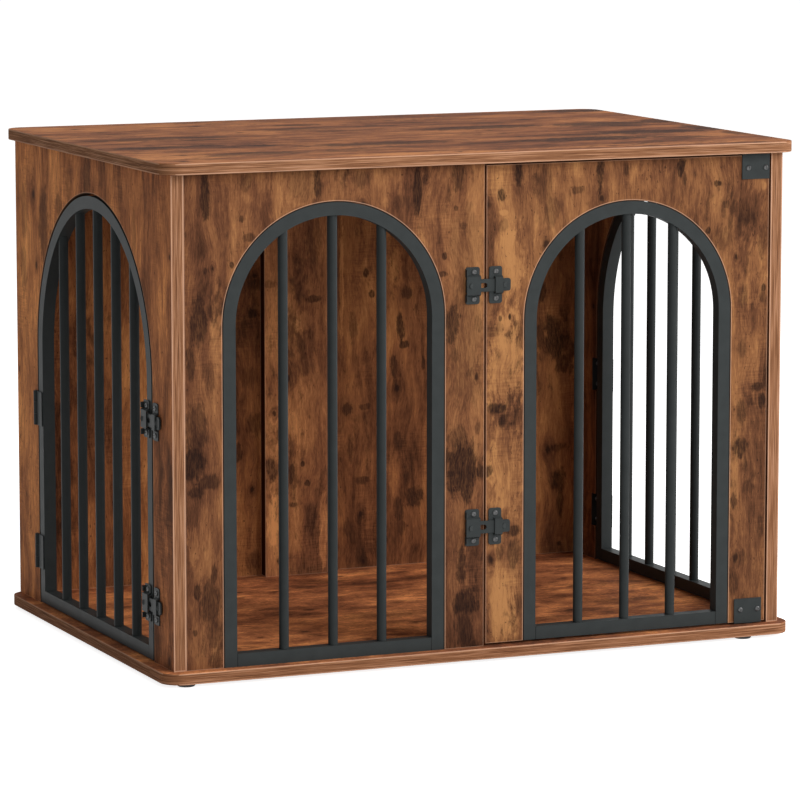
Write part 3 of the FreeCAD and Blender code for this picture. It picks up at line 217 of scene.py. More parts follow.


# The marks on each board that the eye meets first, each by its middle across and along the
# grain, its half width and half length in mm, and its strength. Across is X on the front and
# back boards, -Y on the side boards and Y on the flat ones. DARK holds the stains and knots,
# and some painted shade on the floor board and the left back panel; GOLD the light streaks.
DARK = {
    "front_panel": (
        (-366, 592, 6, 26, 0.9), (-315, 606, 9, 10, 0.5), (-320, 563, 4, 5, 0.8),
        (-311, 540, 8, 5, 0.6), (-367, 502, 3, 5, 0.8), (-333, 508, 3, 4, 0.9),
        (-376, 440, 10, 30, 0.8), (-386, 395, 6, 24, 0.7), (-362, 372, 7, 22, 0.4),
        (-222, 602, 6, 20, 0.85), (-238, 600, 22, 16, 0.35), (-165, 605, 12, 10, 0.5),
        (-91, 590, 6, 28, 0.9), (-36, 603, 9, 18, 0.7), (-110, 576, 14, 8, 0.35),
        (-40, 565, 4, 4, 0.8), (-30, 543, 6, 5, 0.6), (-55, 507, 3, 5, 0.9),
        (-57, 485, 7, 3, 0.7), (-46, 424, 10, 24, 0.85), (-9, 420, 6, 14, 0.55),
        (-42, 384, 8, 9, 0.6), (-21, 362, 5, 7, 0.6), (-380, 312, 13, 34, 0.6),
        (-383, 272, 14, 24, 0.9), (-364, 247, 13, 10, 0.75), (-380, 236, 9, 7, 0.7),
        (-358, 133, 4, 13, 0.7), (-379, 113, 5, 9, 0.85), (-362, 100, 15, 26, 0.7),
        (-358, 66, 9, 24, 0.55), (-383, 65, 3, 4, 0.7), (-357, 28, 8, 11, 0.6),
        (-36, 276, 13, 22, 0.6), (-30, 243, 25, 36, 0.9), (-26, 405, 26, 90, 0.35),
        (-26, 520, 22, 44, 0.25), (-8, 238, 8, 8, 0.9), (-10, 292, 4, 9, 0.5),
        (-32, 122, 7, 20, 0.8), (-26, 76, 18, 16, 0.9), (-28, 40, 13, 22, 0.65),
    ),
    "front_door_panel": (
        (44, 604, 5, 16, 0.9), (21, 578, 5, 9, 0.85), (22, 541, 9, 9, 0.4),
        (80, 590, 9, 22, 0.35), (90, 555, 11, 18, 0.45), (155, 600, 5, 26, 0.85),
        (192, 603, 4, 8, 0.6), (125, 581, 10, 5, 0.6), (268, 606, 5, 13, 0.95),
        (272, 588, 3, 10, 0.7), (320, 582, 6, 4, 0.9), (330, 556, 6, 6, 0.75),
        (306, 524, 3, 4, 0.9), (326, 512, 16, 13, 0.4), (383, 510, 6, 20, 0.4),
        (385, 448, 3, 5, 0.85), (356, 440, 6, 18, 0.5), (385, 436, 5, 8, 0.6),
        (355, 372, 7, 14, 0.5), (379, 322, 9, 6, 0.9), (384, 304, 5, 14, 0.9),
        (356, 293, 7, 16, 0.65), (33, 428, 2, 4, 0.9), (20, 427, 2, 3, 0.8),
        (8, 412, 14, 9, 0.4), (47, 405, 5, 16, 0.5), (17, 315, 12, 7, 0.9),
        (24, 300, 6, 9, 0.9), (33, 325, 4, 11, 0.5), (5, 238, 5, 6, 0.8),
        (38, 161, 8, 7, 0.85), (40, 133, 9, 17, 0.65), (20, 136, 5, 10, 0.5),
        (47, 68, 6, 14, 0.5), (352, 247, 11, 11, 0.9), (366, 195, 8, 8, 0.55),
        (346, 178, 5, 11, 0.8), (384, 144, 5, 13, 0.5), (356, 104, 12, 9, 0.4),
        (346, 75, 7, 15, 0.5),
    ),
    "left_side_panel": (
        (-15, 592, 13, 30, 0.7), (-185, 515, 17, 48, 0.7), (-122, 546, 14, 13, 0.6),
        (-262, 525, 13, 34, 0.4), (-265, 450, 11, 32, 0.45), (-85, 580, 10, 26, 0.35),
        (105, 590, 9, 30, 0.4), (155, 540, 7, 30, 0.4), (272, 255, 8, 34, 0.4),
    ),
    "back_post": (
        (-5, 393, 12, 5, 0.8), (-4, 470, 12, 26, 0.45), (-65, 165, 9, 16, 0.85),
        (-37, 158, 5, 15, 0.85), (-20, 170, 3, 4, 0.9), (-13, 143, 4, 4, 0.9),
        (-33, 115, 6, 4, 0.8), (-8, 95, 7, 20, 0.5), (-36, 358, 5, 20, 0.55),
        (-17, 300, 13, 10, 0.4), (-38, 283, 5, 15, 0.5), (-66, 415, 11, 5, 0.5),
    ),
    "back_panel_left": (
        # These lie down the panel's edge beside the post: painted shade standing for the post's
        # shadow.
        (-82, 415, 12, 10, 0.7), (-84, 376, 9, 9, 0.9), (-82, 225, 12, 16, 0.6),
        (-108, 190, 6, 12, 0.7), (-84, 40, 12, 12, 0.5), (-90, 290, 10, 14, 0.35),
    ),
    "back_panel_right": (
        (80, 422, 4, 6, 0.9), (88, 393, 4, 5, 0.9), (60, 350, 6, 20, 0.5),
        (52, 237, 7, 9, 0.75), (78, 240, 8, 4, 0.7), (56, 185, 5, 18, 0.6),
        (74, 140, 9, 6, 0.7), (52, 75, 7, 11, 0.5), (72, 40, 8, 14, 0.4),
        (140, 392, 9, 8, 0.7), (130, 345, 6, 19, 0.9), (135, 322, 7, 5, 0.9),
        (121, 290, 5, 17, 0.75), (164, 295, 3, 9, 0.8), (126, 190, 6, 13, 0.6),
        (150, 112, 13, 13, 0.85), (128, 95, 8, 15, 0.7), (134, 70, 6, 11, 0.6),
        (342, 385, 7, 13, 0.8), (357, 335, 13, 14, 0.9), (362, 312, 21, 20, 0.9),
        (375, 285, 11, 13, 0.75), (336, 322, 10, 18, 0.7), (367, 167, 15, 6, 0.6),
        (367, 120, 12, 15, 0.85), (372, 90, 5, 18, 0.75), (370, 32, 3, 4, 0.8),
    ),
    "top_panel": (
        (-75, -360, 16, 66, 0.95), (50, -300, 26, 95, 0.65), (-68, -285, 10, 24, 0.95),
        (15, -250, 10, 34, 0.85), (-95, -215, 11, 18, 0.95), (-200, -260, 22, 58, 0.75),
        (120, -80, 22, 48, 0.6), (185, -60, 12, 34, 0.85), (-125, -70, 22, 110, 0.8),
        (-205, -150, 16, 44, 0.6), (55, 150, 22, 88, 0.85), (-160, 195, 24, 112, 0.95),
        (45, 320, 32, 66, 0.9), (-95, 320, 26, 78, 0.9), (-185, 325, 16, 34, 0.7),
        (60, 405, 32, 22, 0.85), (-60, 409, 46, 18, 0.85), (-150, 413, 30, 15, 0.75),
        (265, 385, 20, 66, 0.95),
    ),
    "base_panel": (
        (200, -20, 12, 42, 0.6), (168, 38, 8, 42, 0.65), (170, -45, 7, 22, 0.6),
        # The four long strips along the floor board's edges, here and first on the next line,
        # are painted shade along its margin.
        (-292, 0, 12, 620, 0.5), (0, -418, 400, 12, 0.45), (292, 0, 12, 620, 0.5),
        (0, 418, 400, 12, 0.45), (-45, -30, 26, 62, 0.45), (75, -180, 20, 52, 0.35),
        (-75, 320, 13, 22, 0.7), (-78, 285, 18, 30, 0.5), (-150, 150, 14, 60, 0.5),
        (-115, 220, 12, 40, 0.4),
    ),
}
GOLD = {
    "front_panel": (
        (-275, 588, 8, 34, 0.3), (-140, 592, 14, 28, 0.3), (-352, 430, 8, 60, 0.18),
        (-385, 175, 8, 24, 0.3), (-60, 560, 14, 24, 0.12), (-190, 602, 110, 26, 0.2),
    ),
    "front_door_panel": (
        (28, 370, 26, 66, 0.45), (30, 500, 20, 50, 0.35), (365, 475, 20, 46, 0.3),
        (372, 590, 14, 20, 0.2), (24, 557, 7, 4, 0.3), (384, 577, 4, 6, 0.3),
        (220, 596, 30, 18, 0.15), (28, 240, 24, 60, 0.35), (22, 70, 22, 50, 0.25),
        (368, 350, 16, 40, 0.15),
    ),
    "left_side_panel": (
        (20, 580, 12, 28, 0.15), (255, 420, 14, 60, 0.12), (252, 200, 10, 60, 0.12),
    ),
    "back_post": (
        (-18, 362, 14, 14, 0.25), (10, 75, 6, 54, 0.35), (-64, 92, 7, 34, 0.3),
        (-20, 240, 30, 40, 0.15),
    ),
    "back_panel_right": (
        (125, 430, 10, 26, 0.25), (78, 360, 14, 60, 0.15), (44, 410, 3, 80, 0.35),
        (120, 150, 10, 30, 0.15),
    ),
    "top_panel": (
        (100, -165, 20, 55, 0.2), (190, -205, 16, 60, 0.2), (-212, -395, 30, 62, 0.25),
        (120, 330, 20, 44, 0.25), (-262, 230, 22, 110, 0.3), (-278, -60, 18, 150, 0.3),
    ),
    "base_panel": (
        (245, 60, 22, 56, 0.25), (55, 62, 20, 56, 0.25), (215, 150, 22, 40, 0.2),
        (60, 250, 24, 60, 0.2),
    ),
}


def marks(tree, place, uneven, spots):
    """The marks' share at each point: the strongest mark's, falling off at a ragged ellipse."""
    found = None
    rim = add(tree, "Math.SUBTRACT", 1.2, uneven)
    heart = add(tree, "Math.SUBTRACT", 0.6, uneven)
    for across, along, wide, long, strength in spots:
        far = add(tree, "VectorMath.MULTIPLY_ADD", place, (1 / wide, 0, 1 / long),
                  (-across / wide, 0, -along / long))
        far = add(tree, "VectorMath.LENGTH", far, out="Value")
        near = add(tree, "MapRange", far, rim, heart, 0.0, strength,
                   interpolation_type="SMOOTHSTEP")
        found = near if found is None else add(tree, "Math.MAXIMUM", found, near)
    return found


def laminate(node, lay, seed, painted_light_tint=(1, 1, 1), arch=None, stretch=1.0, edge=(1, 1, 1)):
    """Particle board under a printed melamine foil with a rustic brown wood decor, its edges
    closed with a banding tape. It gives the eye streaks and fine grain, smudged dark stains and
    small knots, faint saw marks across, a pale rim along the edges that is partly the trimmed
    foil and partly a painted arris highlight, and a painted shadow in the gap round the frame
    in an arch. The tint multiplies painted light and shade into the face, and the edge tint
    darkens the banding, on the back post with painted shade. `seed` says where on the print the
    board is cut, in mm."""
    finish = bpy.context.scene.crate_finish
    material, tree = blank("laminate_" + node)
    turn, facing = lay
    low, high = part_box(node)
    place = add(tree, "TexCoord", out="Object")
    board = add(tree, "Mapping", place, (0, 0, 0), turn, (1000, 1000, 1000))
    foil = add(tree, "VectorMath.ADD", board, seed)

    # The grain sways, and bends round the knots. One cell in three of a loose grid has a knot.
    grid = add(tree, "VectorMath.MULTIPLY", foil, (1 / 70, 0, 1 / 105))
    grid = add(tree, "Mapping", grid, (0, 0, 0), (math.pi / 2, 0, 0), (1, 1, 1))
    knots = add(tree, "TexVoronoi", grid, None, 1.0, voronoi_dimensions="2D").node
    luck = add(tree, "SeparateColor", knots.outputs["Color"]).node
    chosen = add(tree, "Math.GREATER_THAN", luck.outputs[0], 0.64)
    small = add(tree, "TexNoise", add(tree, "VectorMath.MULTIPLY", foil, (1 / 5, 0.1, 1 / 9)),
                None, 1.0, 3.0, 0.6)
    reach = add(tree, "Math.MULTIPLY_ADD", luck.outputs[1], 0.05, 0.028)
    far = add(tree, "Math.MULTIPLY_ADD", small, 0.09, knots.outputs["Distance"])
    far = add(tree, "Math.DIVIDE", add(tree, "Math.SUBTRACT", far, 0.045), reach)
    core = add(tree, "MapRange", far, 1.5, 0.3, 0.0, chosen, interpolation_type="SMOOTHSTEP")
    halo = add(tree, "MapRange", far, 4.2, 0.8, 0.0, chosen, interpolation_type="SMOOTHSTEP")
    rings = add(tree, "Math.SINE", add(tree, "Math.MULTIPLY", far, 5.5))
    aside = add(tree, "VectorMath.SUBTRACT", grid, knots.outputs["Position"])
    bend = add(tree, "Math.MULTIPLY", add(tree, "SeparateXYZ", aside), halo)
    broad = add(tree, "TexNoise", add(tree, "VectorMath.MULTIPLY", foil, (
        1 / 70, 1 / 300, 1 / 130)), None, 1.0, 2.0, 0.5)
    sway = add(tree, "Math.MULTIPLY_ADD", broad, 34.0, -17.0)
    sway = add(tree, "Math.MULTIPLY_ADD", bend, -40.0, sway)
    flow = add(tree, "VectorMath.ADD", foil, add(tree, "CombineXYZ", sway))

    # The tone: each layer of the print by its width across and length along the grain in mm,
    # its roughness and its share. The pores are about 0.5 mm wide: drawn coarser, to show.
    streak, pore = finish.streak_width * 1000, finish.grain_width * 1000
    tone = 0.47
    for wide, long, detail, rough, share in (
        (streak * 3, 700, 1.0, 0.5, 1.1),
        (streak * 1.2, 150, 3.0, 0.6, 1.5),
        (streak * 0.5, 46, 3.0, 0.6, 0.55),
        (pore * 3.2, 60, 2.0, 0.6, 0.5),
        (pore, 11, 3.0, 0.7, 0.9),
    ):
        layer = add(tree, "TexNoise", add(tree, "VectorMath.MULTIPLY", flow, (
            1 / wide, 1 / 40, 1 / long / stretch)), None, 1.0, detail, rough)
        tone = add(tree, "Math.MULTIPLY_ADD", layer, share, add(
            tree, "Math.SUBTRACT", tone, share / 2))
    pores = layer
    saw = add(tree, "TexNoise", add(tree, "VectorMath.MULTIPLY", foil, (
        1 / 22, 1 / 40, 1 / 2.2)), None, 1.0, 2.0, 0.6)
    worn = add(tree, "MapRange", broad, 0.48, 0.66, 0.0, 0.5, interpolation_type="SMOOTHSTEP")
    saw = add(tree, "Math.MULTIPLY", add(tree, "Math.SUBTRACT", saw, 0.5), worn)
    tone = add(tree, "Math.ADD", tone, saw)
    tone = add(tree, "Math.SUBTRACT", tone, add(tree, "Math.MULTIPLY", halo, add(
        tree, "Math.MULTIPLY_ADD", rings, 0.05, 0.14)))
    ragged = add(tree, "TexNoise", add(tree, "VectorMath.MULTIPLY", flow, (
        1 / 11, 1 / 40, 1 / 26)), None, 1.0, 5.0, 0.68)
    uneven = add(tree, "Math.MULTIPLY_ADD", ragged, 2.4, -1.75)
    uneven = add(tree, "Math.MULTIPLY_ADD", small, 0.9, uneven)
    if node in GOLD:
        tone = add(tree, "Math.ADD", tone, marks(tree, board, uneven, GOLD[node]))
    face = add(tree, "ValToRGB", tone, stops=(
        (0.0, tuple(finish.shade)), (0.34, tuple(finish.brown)), (0.62, tuple(finish.tan)),
        (1.0, tuple(finish.gold)),
    ))

    # Smudged stains in clusters, pits between them, and the knots' dark hearts.
    cluster = add(tree, "TexNoise", add(tree, "VectorMath.MULTIPLY", foil, (
        1 / 75, 1 / 300, 1 / 140)), None, 1.0, 2.0, 0.6)
    stain = add(tree, "Math.ADD", ragged, add(tree, "Math.MULTIPLY_ADD", cluster, 0.9, -0.45))
    stain = add(tree, "MapRange", stain, 0.57, 0.8, 0.0, 0.65, interpolation_type="SMOOTHSTEP")
    pit = add(tree, "TexNoise", add(tree, "VectorMath.MULTIPLY", flow, (
        1 / 2.8, 1 / 40, 1 / 5.5)), None, 1.0, 1.0, 0.5)
    pit = add(tree, "MapRange", pit, 0.68, 0.78, 0.0, 0.65, interpolation_type="SMOOTHSTEP")
    dark = add(tree, "Math.MAXIMUM", stain, pit)
    dark = add(tree, "Math.MAXIMUM", dark, add(tree, "Math.MULTIPLY", core, 0.85))
    if node in DARK:
        broken = add(tree, "MapRange", pores, 0.42, 0.6, 1.0, 0.72)
        dark = add(tree, "Math.MAXIMUM", dark, add(
            tree, "Math.MULTIPLY", marks(tree, board, uneven, DARK[node]), broken))
    face = add(tree, "Mix", dark, named={6: face, 7: (*finish.stain, 1)}, out=2,
               data_type="RGBA")
    # The tint multiplies in painted light and shade: it lightens the boards that stand in shade
    # and darkens the front ones.
    face = add(tree, "Mix", 1.0, named={6: face, 7: (*painted_light_tint, 1)}, out=2, data_type="RGBA",
               blend_type="MULTIPLY")

    # The banding tape: lines that follow the board's length, however its edge runs.
    lines = add(tree, "TexNoise", add(tree, "VectorMath.MULTIPLY", foil, (
        1 / 70, 1 / 0.8, 1 / 70)), None, 1.0, 3.0, 0.65)
    tape = add(tree, "ValToRGB", lines, stops=(
        (0.3, tuple(finish.shade)), (0.42, tuple(finish.brown)), (0.54, tuple(finish.band)),
        (0.82, tuple(finish.rim)),
    ))
    # The edge tint darkens the banding: painted shade on the back post's, a little darker on
    # the floor board's.
    tape = add(tree, "Mix", 1.0, named={6: tape, 7: (*edge, 1)}, out=2, data_type="RGBA",
               blend_type="MULTIPLY")
    normal = add(tree, "SeparateXYZ", add(tree, "TexCoord", out="Normal"), out=facing)
    on_edge = add(tree, "MapRange", add(tree, "Math.ABSOLUTE", normal), 0.75, 0.45,
                  interpolation_type="SMOOTHSTEP")
    surface = add(tree, "Mix", on_edge, named={6: face, 7: tape}, out=2, data_type="RGBA")

    # The rim, a pale line partly of the trimmed foil and partly a painted arris highlight: the
    # middle one of a point's three distances from its board's faces, wide on the banding and
    # narrow on the face, and the distance from the arch.
    gaps = []
    for axis in range(3):
        here = add(tree, "SeparateXYZ", place, out=axis)
        gaps.append(add(tree, "Math.MINIMUM", add(tree, "Math.SUBTRACT", here, low[axis]), add(
            tree, "Math.SUBTRACT", high[axis], here)))
    first, second, third = gaps
    nearest = add(tree, "Math.MAXIMUM", add(tree, "Math.MINIMUM", first, second), add(
        tree, "Math.MINIMUM", add(tree, "Math.MAXIMUM", first, second), third))
    wide = add(tree, "Math.MULTIPLY_ADD", on_edge, RIM_WIDTH, RIM_WIDTH)
    rim = add(tree, "Math.MULTIPLY", add(tree, "Math.LESS_THAN", nearest, wide), add(
        tree, "Math.MULTIPLY_ADD", on_edge, 0.25, 0.3))
    if arch:
        along, middle, spring, radius = arch
        side = add(tree, "Math.SUBTRACT", add(tree, "SeparateXYZ", place, out=along), middle)
        above = add(tree, "Math.SUBTRACT", add(tree, "SeparateXYZ", place, out=2), spring)
        above = add(tree, "Math.MAXIMUM", above, 0.0)
        span = add(tree, "VectorMath.LENGTH", add(tree, "CombineXYZ", side, above), out="Value")
        past = add(tree, "Math.SUBTRACT", span, radius)
        ring = add(tree, "MapRange", past, *ARCH_LINE, 0.0, 0.55,
                   interpolation_type="SMOOTHSTEP")
        rim = add(tree, "Math.MAXIMUM", rim, ring)
        # Painted shadow in the gap between the arch and its frame, in the stain colour.
        gap_shadow = add(tree, "MapRange", past, *ARCH_GAP, 0.0, 0.9)
        rim = add(tree, "Math.MULTIPLY", rim, add(tree, "Math.SUBTRACT", 1.0, gap_shadow))
        surface = add(tree, "Mix", gap_shadow, named={6: surface, 7: (*finish.stain, 1)}, out=2,
                      data_type="RGBA")
    surface = add(tree, "Mix", rim, named={6: surface, 7: (*finish.rim, 1)}, out=2,
                  data_type="RGBA")
    relief = add(tree, "Math.MULTIPLY_ADD", dark, -0.5, pores)
    bump = add(tree, "Bump", named={"Height": relief, "Strength": 0.3, "Distance": 0.0002})
    shader = add(tree, "BsdfPrincipled", surface, named={
        "Roughness": add(tree, "Math.MULTIPLY_ADD", pores, 0.16, 0.5), "Normal": bump,
        "IOR": 1.5, "Specular IOR Level": FOIL_GLOSS,
    })
    add(tree, "OutputMaterial", shader)
    return material


def powder_coat(name, tone, rough, rail=None):
    """Polyester powder baked on steel tube and sheet. It gives the eye a satin black with the
    slight swell of the melted powder, and a painted shade line where a rail's ends meet the
    stiles."""
    material, tree = blank(name)
    place = add(tree, "TexCoord", out="Object")
    swell = add(tree, "TexNoise", place, None, 450.0, 2.0)
    cloud = add(tree, "TexNoise", place, None, 60.0, 3.0)
    shade = add(tree, "Mix", cloud, named={
        6: (*(v * 0.8 for v in tone), 1), 7: (*(v * 1.2 for v in tone), 1),
    }, out=2, data_type="RGBA")
    if rail:
        low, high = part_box(rail)
        along = 0 if high[0] - low[0] > high[1] - low[1] else 1
        here = add(tree, "SeparateXYZ", place, out=along)
        end = add(tree, "Math.MINIMUM", add(tree, "Math.SUBTRACT", here, low[along]), add(
            tree, "Math.SUBTRACT", high[along], here))
        # Painted shade in the crack where the rail's end meets the stile.
        seam_shade = add(tree, "MapRange", end, *SEAM_SHADE, 0.0, 0.85)
        shade = add(tree, "Mix", seam_shade, named={6: shade, 7: (0.003, 0.003, 0.003, 1)}, out=2,
                    data_type="RGBA")
    # The swell is about 0.5 mm across: drawn at 2 mm, so that it shows.
    bump = add(tree, "Bump", named={"Height": swell, "Strength": 0.15, "Distance": 0.0001})
    shader = add(tree, "BsdfPrincipled", shade, named={
        "Roughness": add(tree, "Math.MULTIPLY_ADD", cloud, 0.16, rough - 0.08), "Normal": bump,
        "IOR": 1.5, "Specular IOR Level": COAT_GLOSS,
    })
    add(tree, "OutputMaterial", shader)
    return material


def plated(name, tone, rough, speckle):
    """Zinc-plated steel fixings. It gives the eye a metal with the cloudy grain of the bath."""
    material, tree = blank(name)
    place = add(tree, "TexCoord", out="Object")
    cloud = add(tree, "TexNoise", place, None, speckle, 3.0)
    shade = add(tree, "Mix", cloud, named={
        6: (*(v * 0.7 for v in linear(tone)), 1), 7: (*linear(tone), 1),
    }, out=2, data_type="RGBA")
    gloss = add(tree, "Math.MULTIPLY_ADD", cloud, 0.2, rough - 0.1)
    shader = add(tree, "BsdfPrincipled", shade, named={"Roughness": gloss, "Metallic": 1.0})
    add(tree, "OutputMaterial", shader)
    return material


def moulded(name, tone):
    """Moulded polypropylene with the spark-eroded grain of its mould: a soft dull black."""
    material, tree = blank(name)
    place = add(tree, "TexCoord", out="Object")
    grit = add(tree, "TexNoise", place, None, 900.0, 2.0)
    shade = add(tree, "Mix", grit, named={
        6: (*(v * 0.8 for v in linear(tone)), 1), 7: (*linear(tone), 1),
    }, out=2, data_type="RGBA")
    bump = add(tree, "Bump", named={"Height": grit, "Strength": 0.2, "Distance": 0.0001})
    shader = add(tree, "BsdfPrincipled", shade, named={
        "Roughness": 0.55, "Normal": bump, "IOR": 1.49,
    })
    add(tree, "OutputMaterial", shader)
    return material


def beech(name):
    """Fluted beech dowels: pale wood with short brown flecks along its length."""
    material, tree = blank(name)
    place = add(tree, "TexCoord", out="Object")
    drawn = add(tree, "VectorMath.MULTIPLY", place, (900.0, 900.0, 160.0))
    fleck = add(tree, "TexNoise", drawn, None, 1.0, 3.0)
    shade = add(tree, "ValToRGB", fleck, stops=(
        (0.35, linear("#a97c50")), (0.6, linear("#cfa87a")),
    ))
    shader = add(tree, "BsdfPrincipled", shade, named={"Roughness": 0.6, "IOR": 1.5})
    add(tree, "OutputMaterial", shader)
    return material


class CRATE_OT_slabs(bpy.types.Operator):
    """Gives the top board and the floor board their laminate"""

    bl_idname = "crate.slabs"
    bl_label = "Top and floor boards"

    def execute(self, context):
        # The floor board's tint is painted light, lightening it as its inside stands in shade;
        # the top's turns it a little pink, and the floor board's banding is darkened a little.
        give(laminate("top_panel", LENGTHWISE, (40, 410, 90), (1.05, 0.92, 0.92), stretch=0.7),
             "top_panel")
        give(laminate("base_panel", LENGTHWISE, (940, 130, 700), (2.35, 1.95, 1.8), stretch=0.4,
                      edge=(0.9, 0.85, 0.82)), "base_panel")
        return {"FINISHED"}


class CRATE_OT_uprights(bpy.types.Operator):
    """Gives the upright boards and the front door's board their laminate"""

    bl_idname = "crate.uprights"
    bl_label = "Upright boards"

    def execute(self, context):
        plain, shaded = (1, 1, 1), (0.16, 0.1, 0.08)
        # Each board, how its print lies, its seed, its tint of painted light and shade, its
        # arch and its banding's tint, which is painted shade on the back post.
        boards = (
            ("front_panel", FRONT, (210, 0, 330), (0.72, 0.68, 0.7),
             arch_of("front_grille", FRONT_GAP, 0), plain),
            ("front_door_panel", FRONT, (1450, 60, 120), (0.78, 0.76, 0.76),
             arch_of("front_door", FRONT_GAP, 0), plain),
            ("left_side_panel", SIDE, (2300, 120, 820), (2.1, 1.9, 1.75),
             arch_of("left_door", SIDE_GAP, 1), plain),
            ("right_side_panel", SIDE, (3350, 200, 440), plain,
             arch_of("right_door", SIDE_GAP, 1), plain),
            ("back_panel_left", FRONT, (4200, 330, 260), (1.25, 1.1, 0.98), None, plain),
            ("back_panel_right", FRONT, (5800, 360, 910), (1.25, 1.12, 1.02), None, plain),
            ("back_post", FRONT, (6900, 420, 40), (1.8, 1.7, 1.65), None, shaded),
        )
        for node, lay, seed, painted_light_tint, arch, edge in boards:
            give(laminate(node, lay, seed, painted_light_tint, arch, edge=edge), node)
        return {"FINISHED"}


class CRATE_OT_steelwork(bpy.types.Operator):
    """Gives the frames, rails and bars their powder coat"""

    bl_idname = "crate.steelwork"
    bl_label = "Frames and bars"

    def execute(self, context):
        tone = tuple(context.scene.crate_finish.steel)
        coat = powder_coat("powder_coated_tube", tone, 0.42)
        give(coat, *(n for n in NODES if n.endswith("_frame")))
        for rail in (n for n in NODES if n.endswith("_rail")):
            give(powder_coat("powder_coated_" + rail, tone, 0.42, rail), rail)
        # The bars get a darker copy of the tubes' coat: painted shade.
        round_coat = powder_coat("powder_coated_bar", tuple(v * BAR_SHADE for v in tone), 0.4)
        give(round_coat, *(n for n in NODES if n.endswith("_bars")))
        return {"FINISHED"}


class CRATE_OT_latches(bpy.types.Operator):
    """Gives the latches, hinges and pivot brackets their powder coat"""

    bl_idname = "crate.latches"
    bl_label = "Latches, hinges and brackets"

    def execute(self, context):
        tone = tuple(context.scene.crate_finish.steel)
        coat = powder_coat("powder_coated_sheet", tone, 0.38)
        words = ("keeper", "guide", "bolt_upper", "bolt_lower", "hinge_leaves", "bracket")
        give(coat, *(n for n in NODES if any(word in n for word in words)))
        return {"FINISHED"}


class CRATE_OT_fixings(bpy.types.Operator):
    """Gives the screws, cams, dowels, bushes and glides their finishes"""

    bl_idname = "crate.fixings"
    bl_label = "Fixings and glides"

    def execute(self, context):
        give(plated("black_zinc", "#5a5a5a", 0.4, 300.0), "cabinet_screws",
             "front_door_screws", "left_door_screws", "right_door_screws")
        give(plated("bright_zinc", "#9c9c97", 0.4, 200.0), "cam_bolts", "cam_locks",
             "base_screws", "post_screws")
        give(beech("beech_dowel"), "dowels")
        give(moulded("moulded_plastic", "#1b1b1b"), "top_pivot_bush", "bottom_pivot_bush",
             *(n for n in NODES if n.startswith("foot_")))
        return {"FINISHED"}


def surface_object(name, points, faces):
    """A mesh object from arrays of points and of corner numbers."""
    mesh = bpy.data.meshes.new(name)
    mesh.from_pydata(points.tolist(), [], faces.tolist())
    mesh.update()
    thing = bpy.data.objects.new(name, mesh)
    bpy.context.scene.collection.objects.link(thing)
    return thing


def aim(thing, target):
    """Turns a lamp or camera towards a point."""
    way = target - thing.location
    thing.rotation_euler = way.to_track_quat("-Z", "Y").to_euler()


def looked_at(tree):
    """1 for rays from the camera, reflections and glass, 0 for those that only carry light."""
    seen = add(tree, "LightPath").node
    return add(tree, "Math.MAXIMUM", seen.outputs["Is Camera Ray"], add(
        tree, "Math.MAXIMUM", seen.outputs["Is Glossy Ray"],
        seen.outputs["Is Transmission Ray"]))


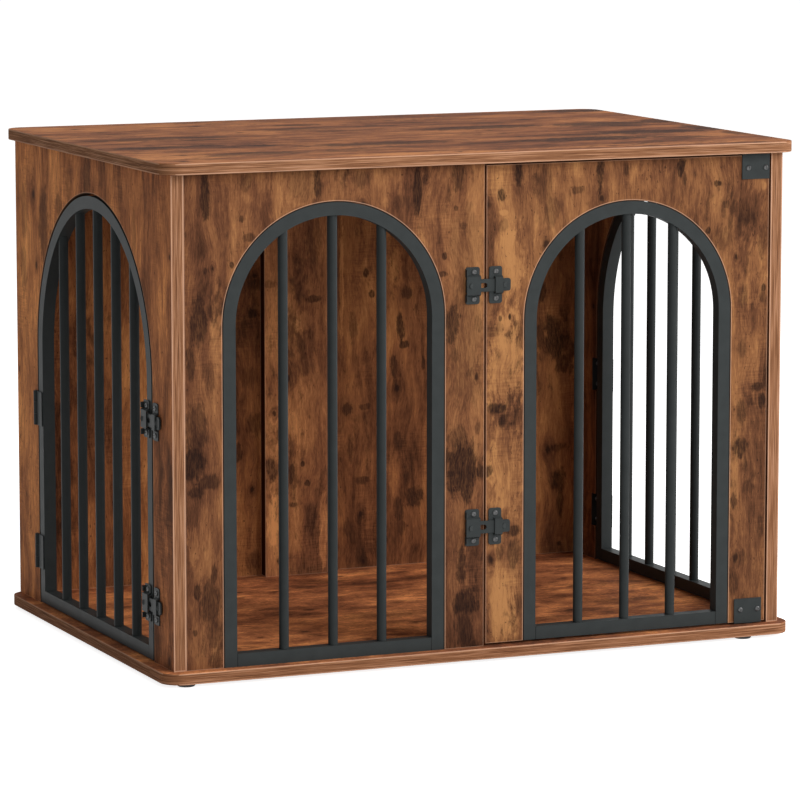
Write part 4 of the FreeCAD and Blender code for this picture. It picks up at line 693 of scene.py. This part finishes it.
class CRATE_OT_stage(bpy.types.Operator):
    """Lays the floor, hangs the lamps and sets up the camera"""

    bl_idname = "crate.stage"
    bl_label = "Stage"

    def execute(self, context):
        scene = context.scene
        stage = scene.crate_stage
        corners = np.array([(-1, -1, 0), (1, -1, 0), (1, 1, 0), (-1, 1, 0)], float)
        corners *= FLOOR_REACH
        floor = surface_object("studio_floor", corners, np.array([(0, 1, 2, 3)]))
        material, tree = blank("white_studio_paper")
        shown = looked_at(tree)
        paper = add(tree, "BsdfDiffuse", (*stage.floor, 1))
        glow = add(tree, "Math.MULTIPLY", shown, PAPER_GLOW)
        glow = add(tree, "Emission", (1, 1, 1, 1), glow)
        add(tree, "OutputMaterial", add(tree, "AddShader", paper, glow))
        floor.data.materials.append(material)

        world = bpy.data.worlds.new("studio")
        scene.world = world
        world.use_nodes = True
        tree = world.node_tree
        tree.nodes.clear()
        shown = looked_at(tree)
        strength = add(tree, "Mix", shown, named={2: stage.room, 3: 1.0}, data_type="FLOAT")
        add(tree, "OutputWorld", add(tree, "Background", (1, 1, 1, 1), strength))

        low, high = CAD_BOX
        middle = (low + high) / 2
        for name, where, size in LAMPS:
            lamp = bpy.data.lights.new(name, "AREA")
            lamp.energy, lamp.size = getattr(stage, name), size
            thing = bpy.data.objects.new(name + "_lamp", lamp)
            thing.location = where
            scene.collection.objects.link(thing)
            aim(thing, middle)

        view = bpy.data.cameras.new("camera")
        view.lens, view.sensor_width = stage.lens, 36.0
        view.clip_start, view.clip_end = 0.1, 200.0
        camera = bpy.data.objects.new("camera", view)
        camera.location = CAMERA_AT
        camera.rotation_euler = (math.pi / 2 - CAMERA_TILT, 0, -CAMERA_TURN)
        scene.collection.objects.link(camera)
        scene.camera = camera
        scene.view_settings.view_transform = "Standard"
        return {"FINISHED"}


OPERATORS = (
    CRATE_OT_slabs,
    CRATE_OT_uprights,
    CRATE_OT_steelwork,
    CRATE_OT_latches,
    CRATE_OT_fixings,
    CRATE_OT_stage,
)


class CRATE_PT_panel(bpy.types.Panel):
    """Lists the crate's operators and settings"""

    bl_idname = "CRATE_PT_panel"
    bl_label = "Crate"
    bl_space_type = "VIEW_3D"
    bl_region_type = "UI"
    bl_category = "Crate"

    def draw(self, context):
        for group in (context.scene.crate_finish, context.scene.crate_stage):
            box = self.layout.box()
            for name in group.__class__.__annotations__:
                box.prop(group, name)
        for operator in OPERATORS:
            self.layout.operator(operator.bl_idname)


CLASSES = (CrateFinish, CrateStage, *OPERATORS, CRATE_PT_panel)


def register():
    for one in CLASSES:
        bpy.utils.register_class(one)
    bpy.types.Scene.crate_finish = bpy.props.PointerProperty(type=CrateFinish)
    bpy.types.Scene.crate_stage = bpy.props.PointerProperty(type=CrateStage)


def unregister():
    del bpy.types.Scene.crate_stage
    del bpy.types.Scene.crate_finish
    for one in reversed(CLASSES):
        bpy.utils.unregister_class(one)


def main():
    register()
    bpy.ops.crate.slabs()
    bpy.ops.crate.uprights()
    bpy.ops.crate.steelwork()
    bpy.ops.crate.latches()
    bpy.ops.crate.fixings()
    bpy.ops.crate.stage()


if __name__ == "__main__":
    main()
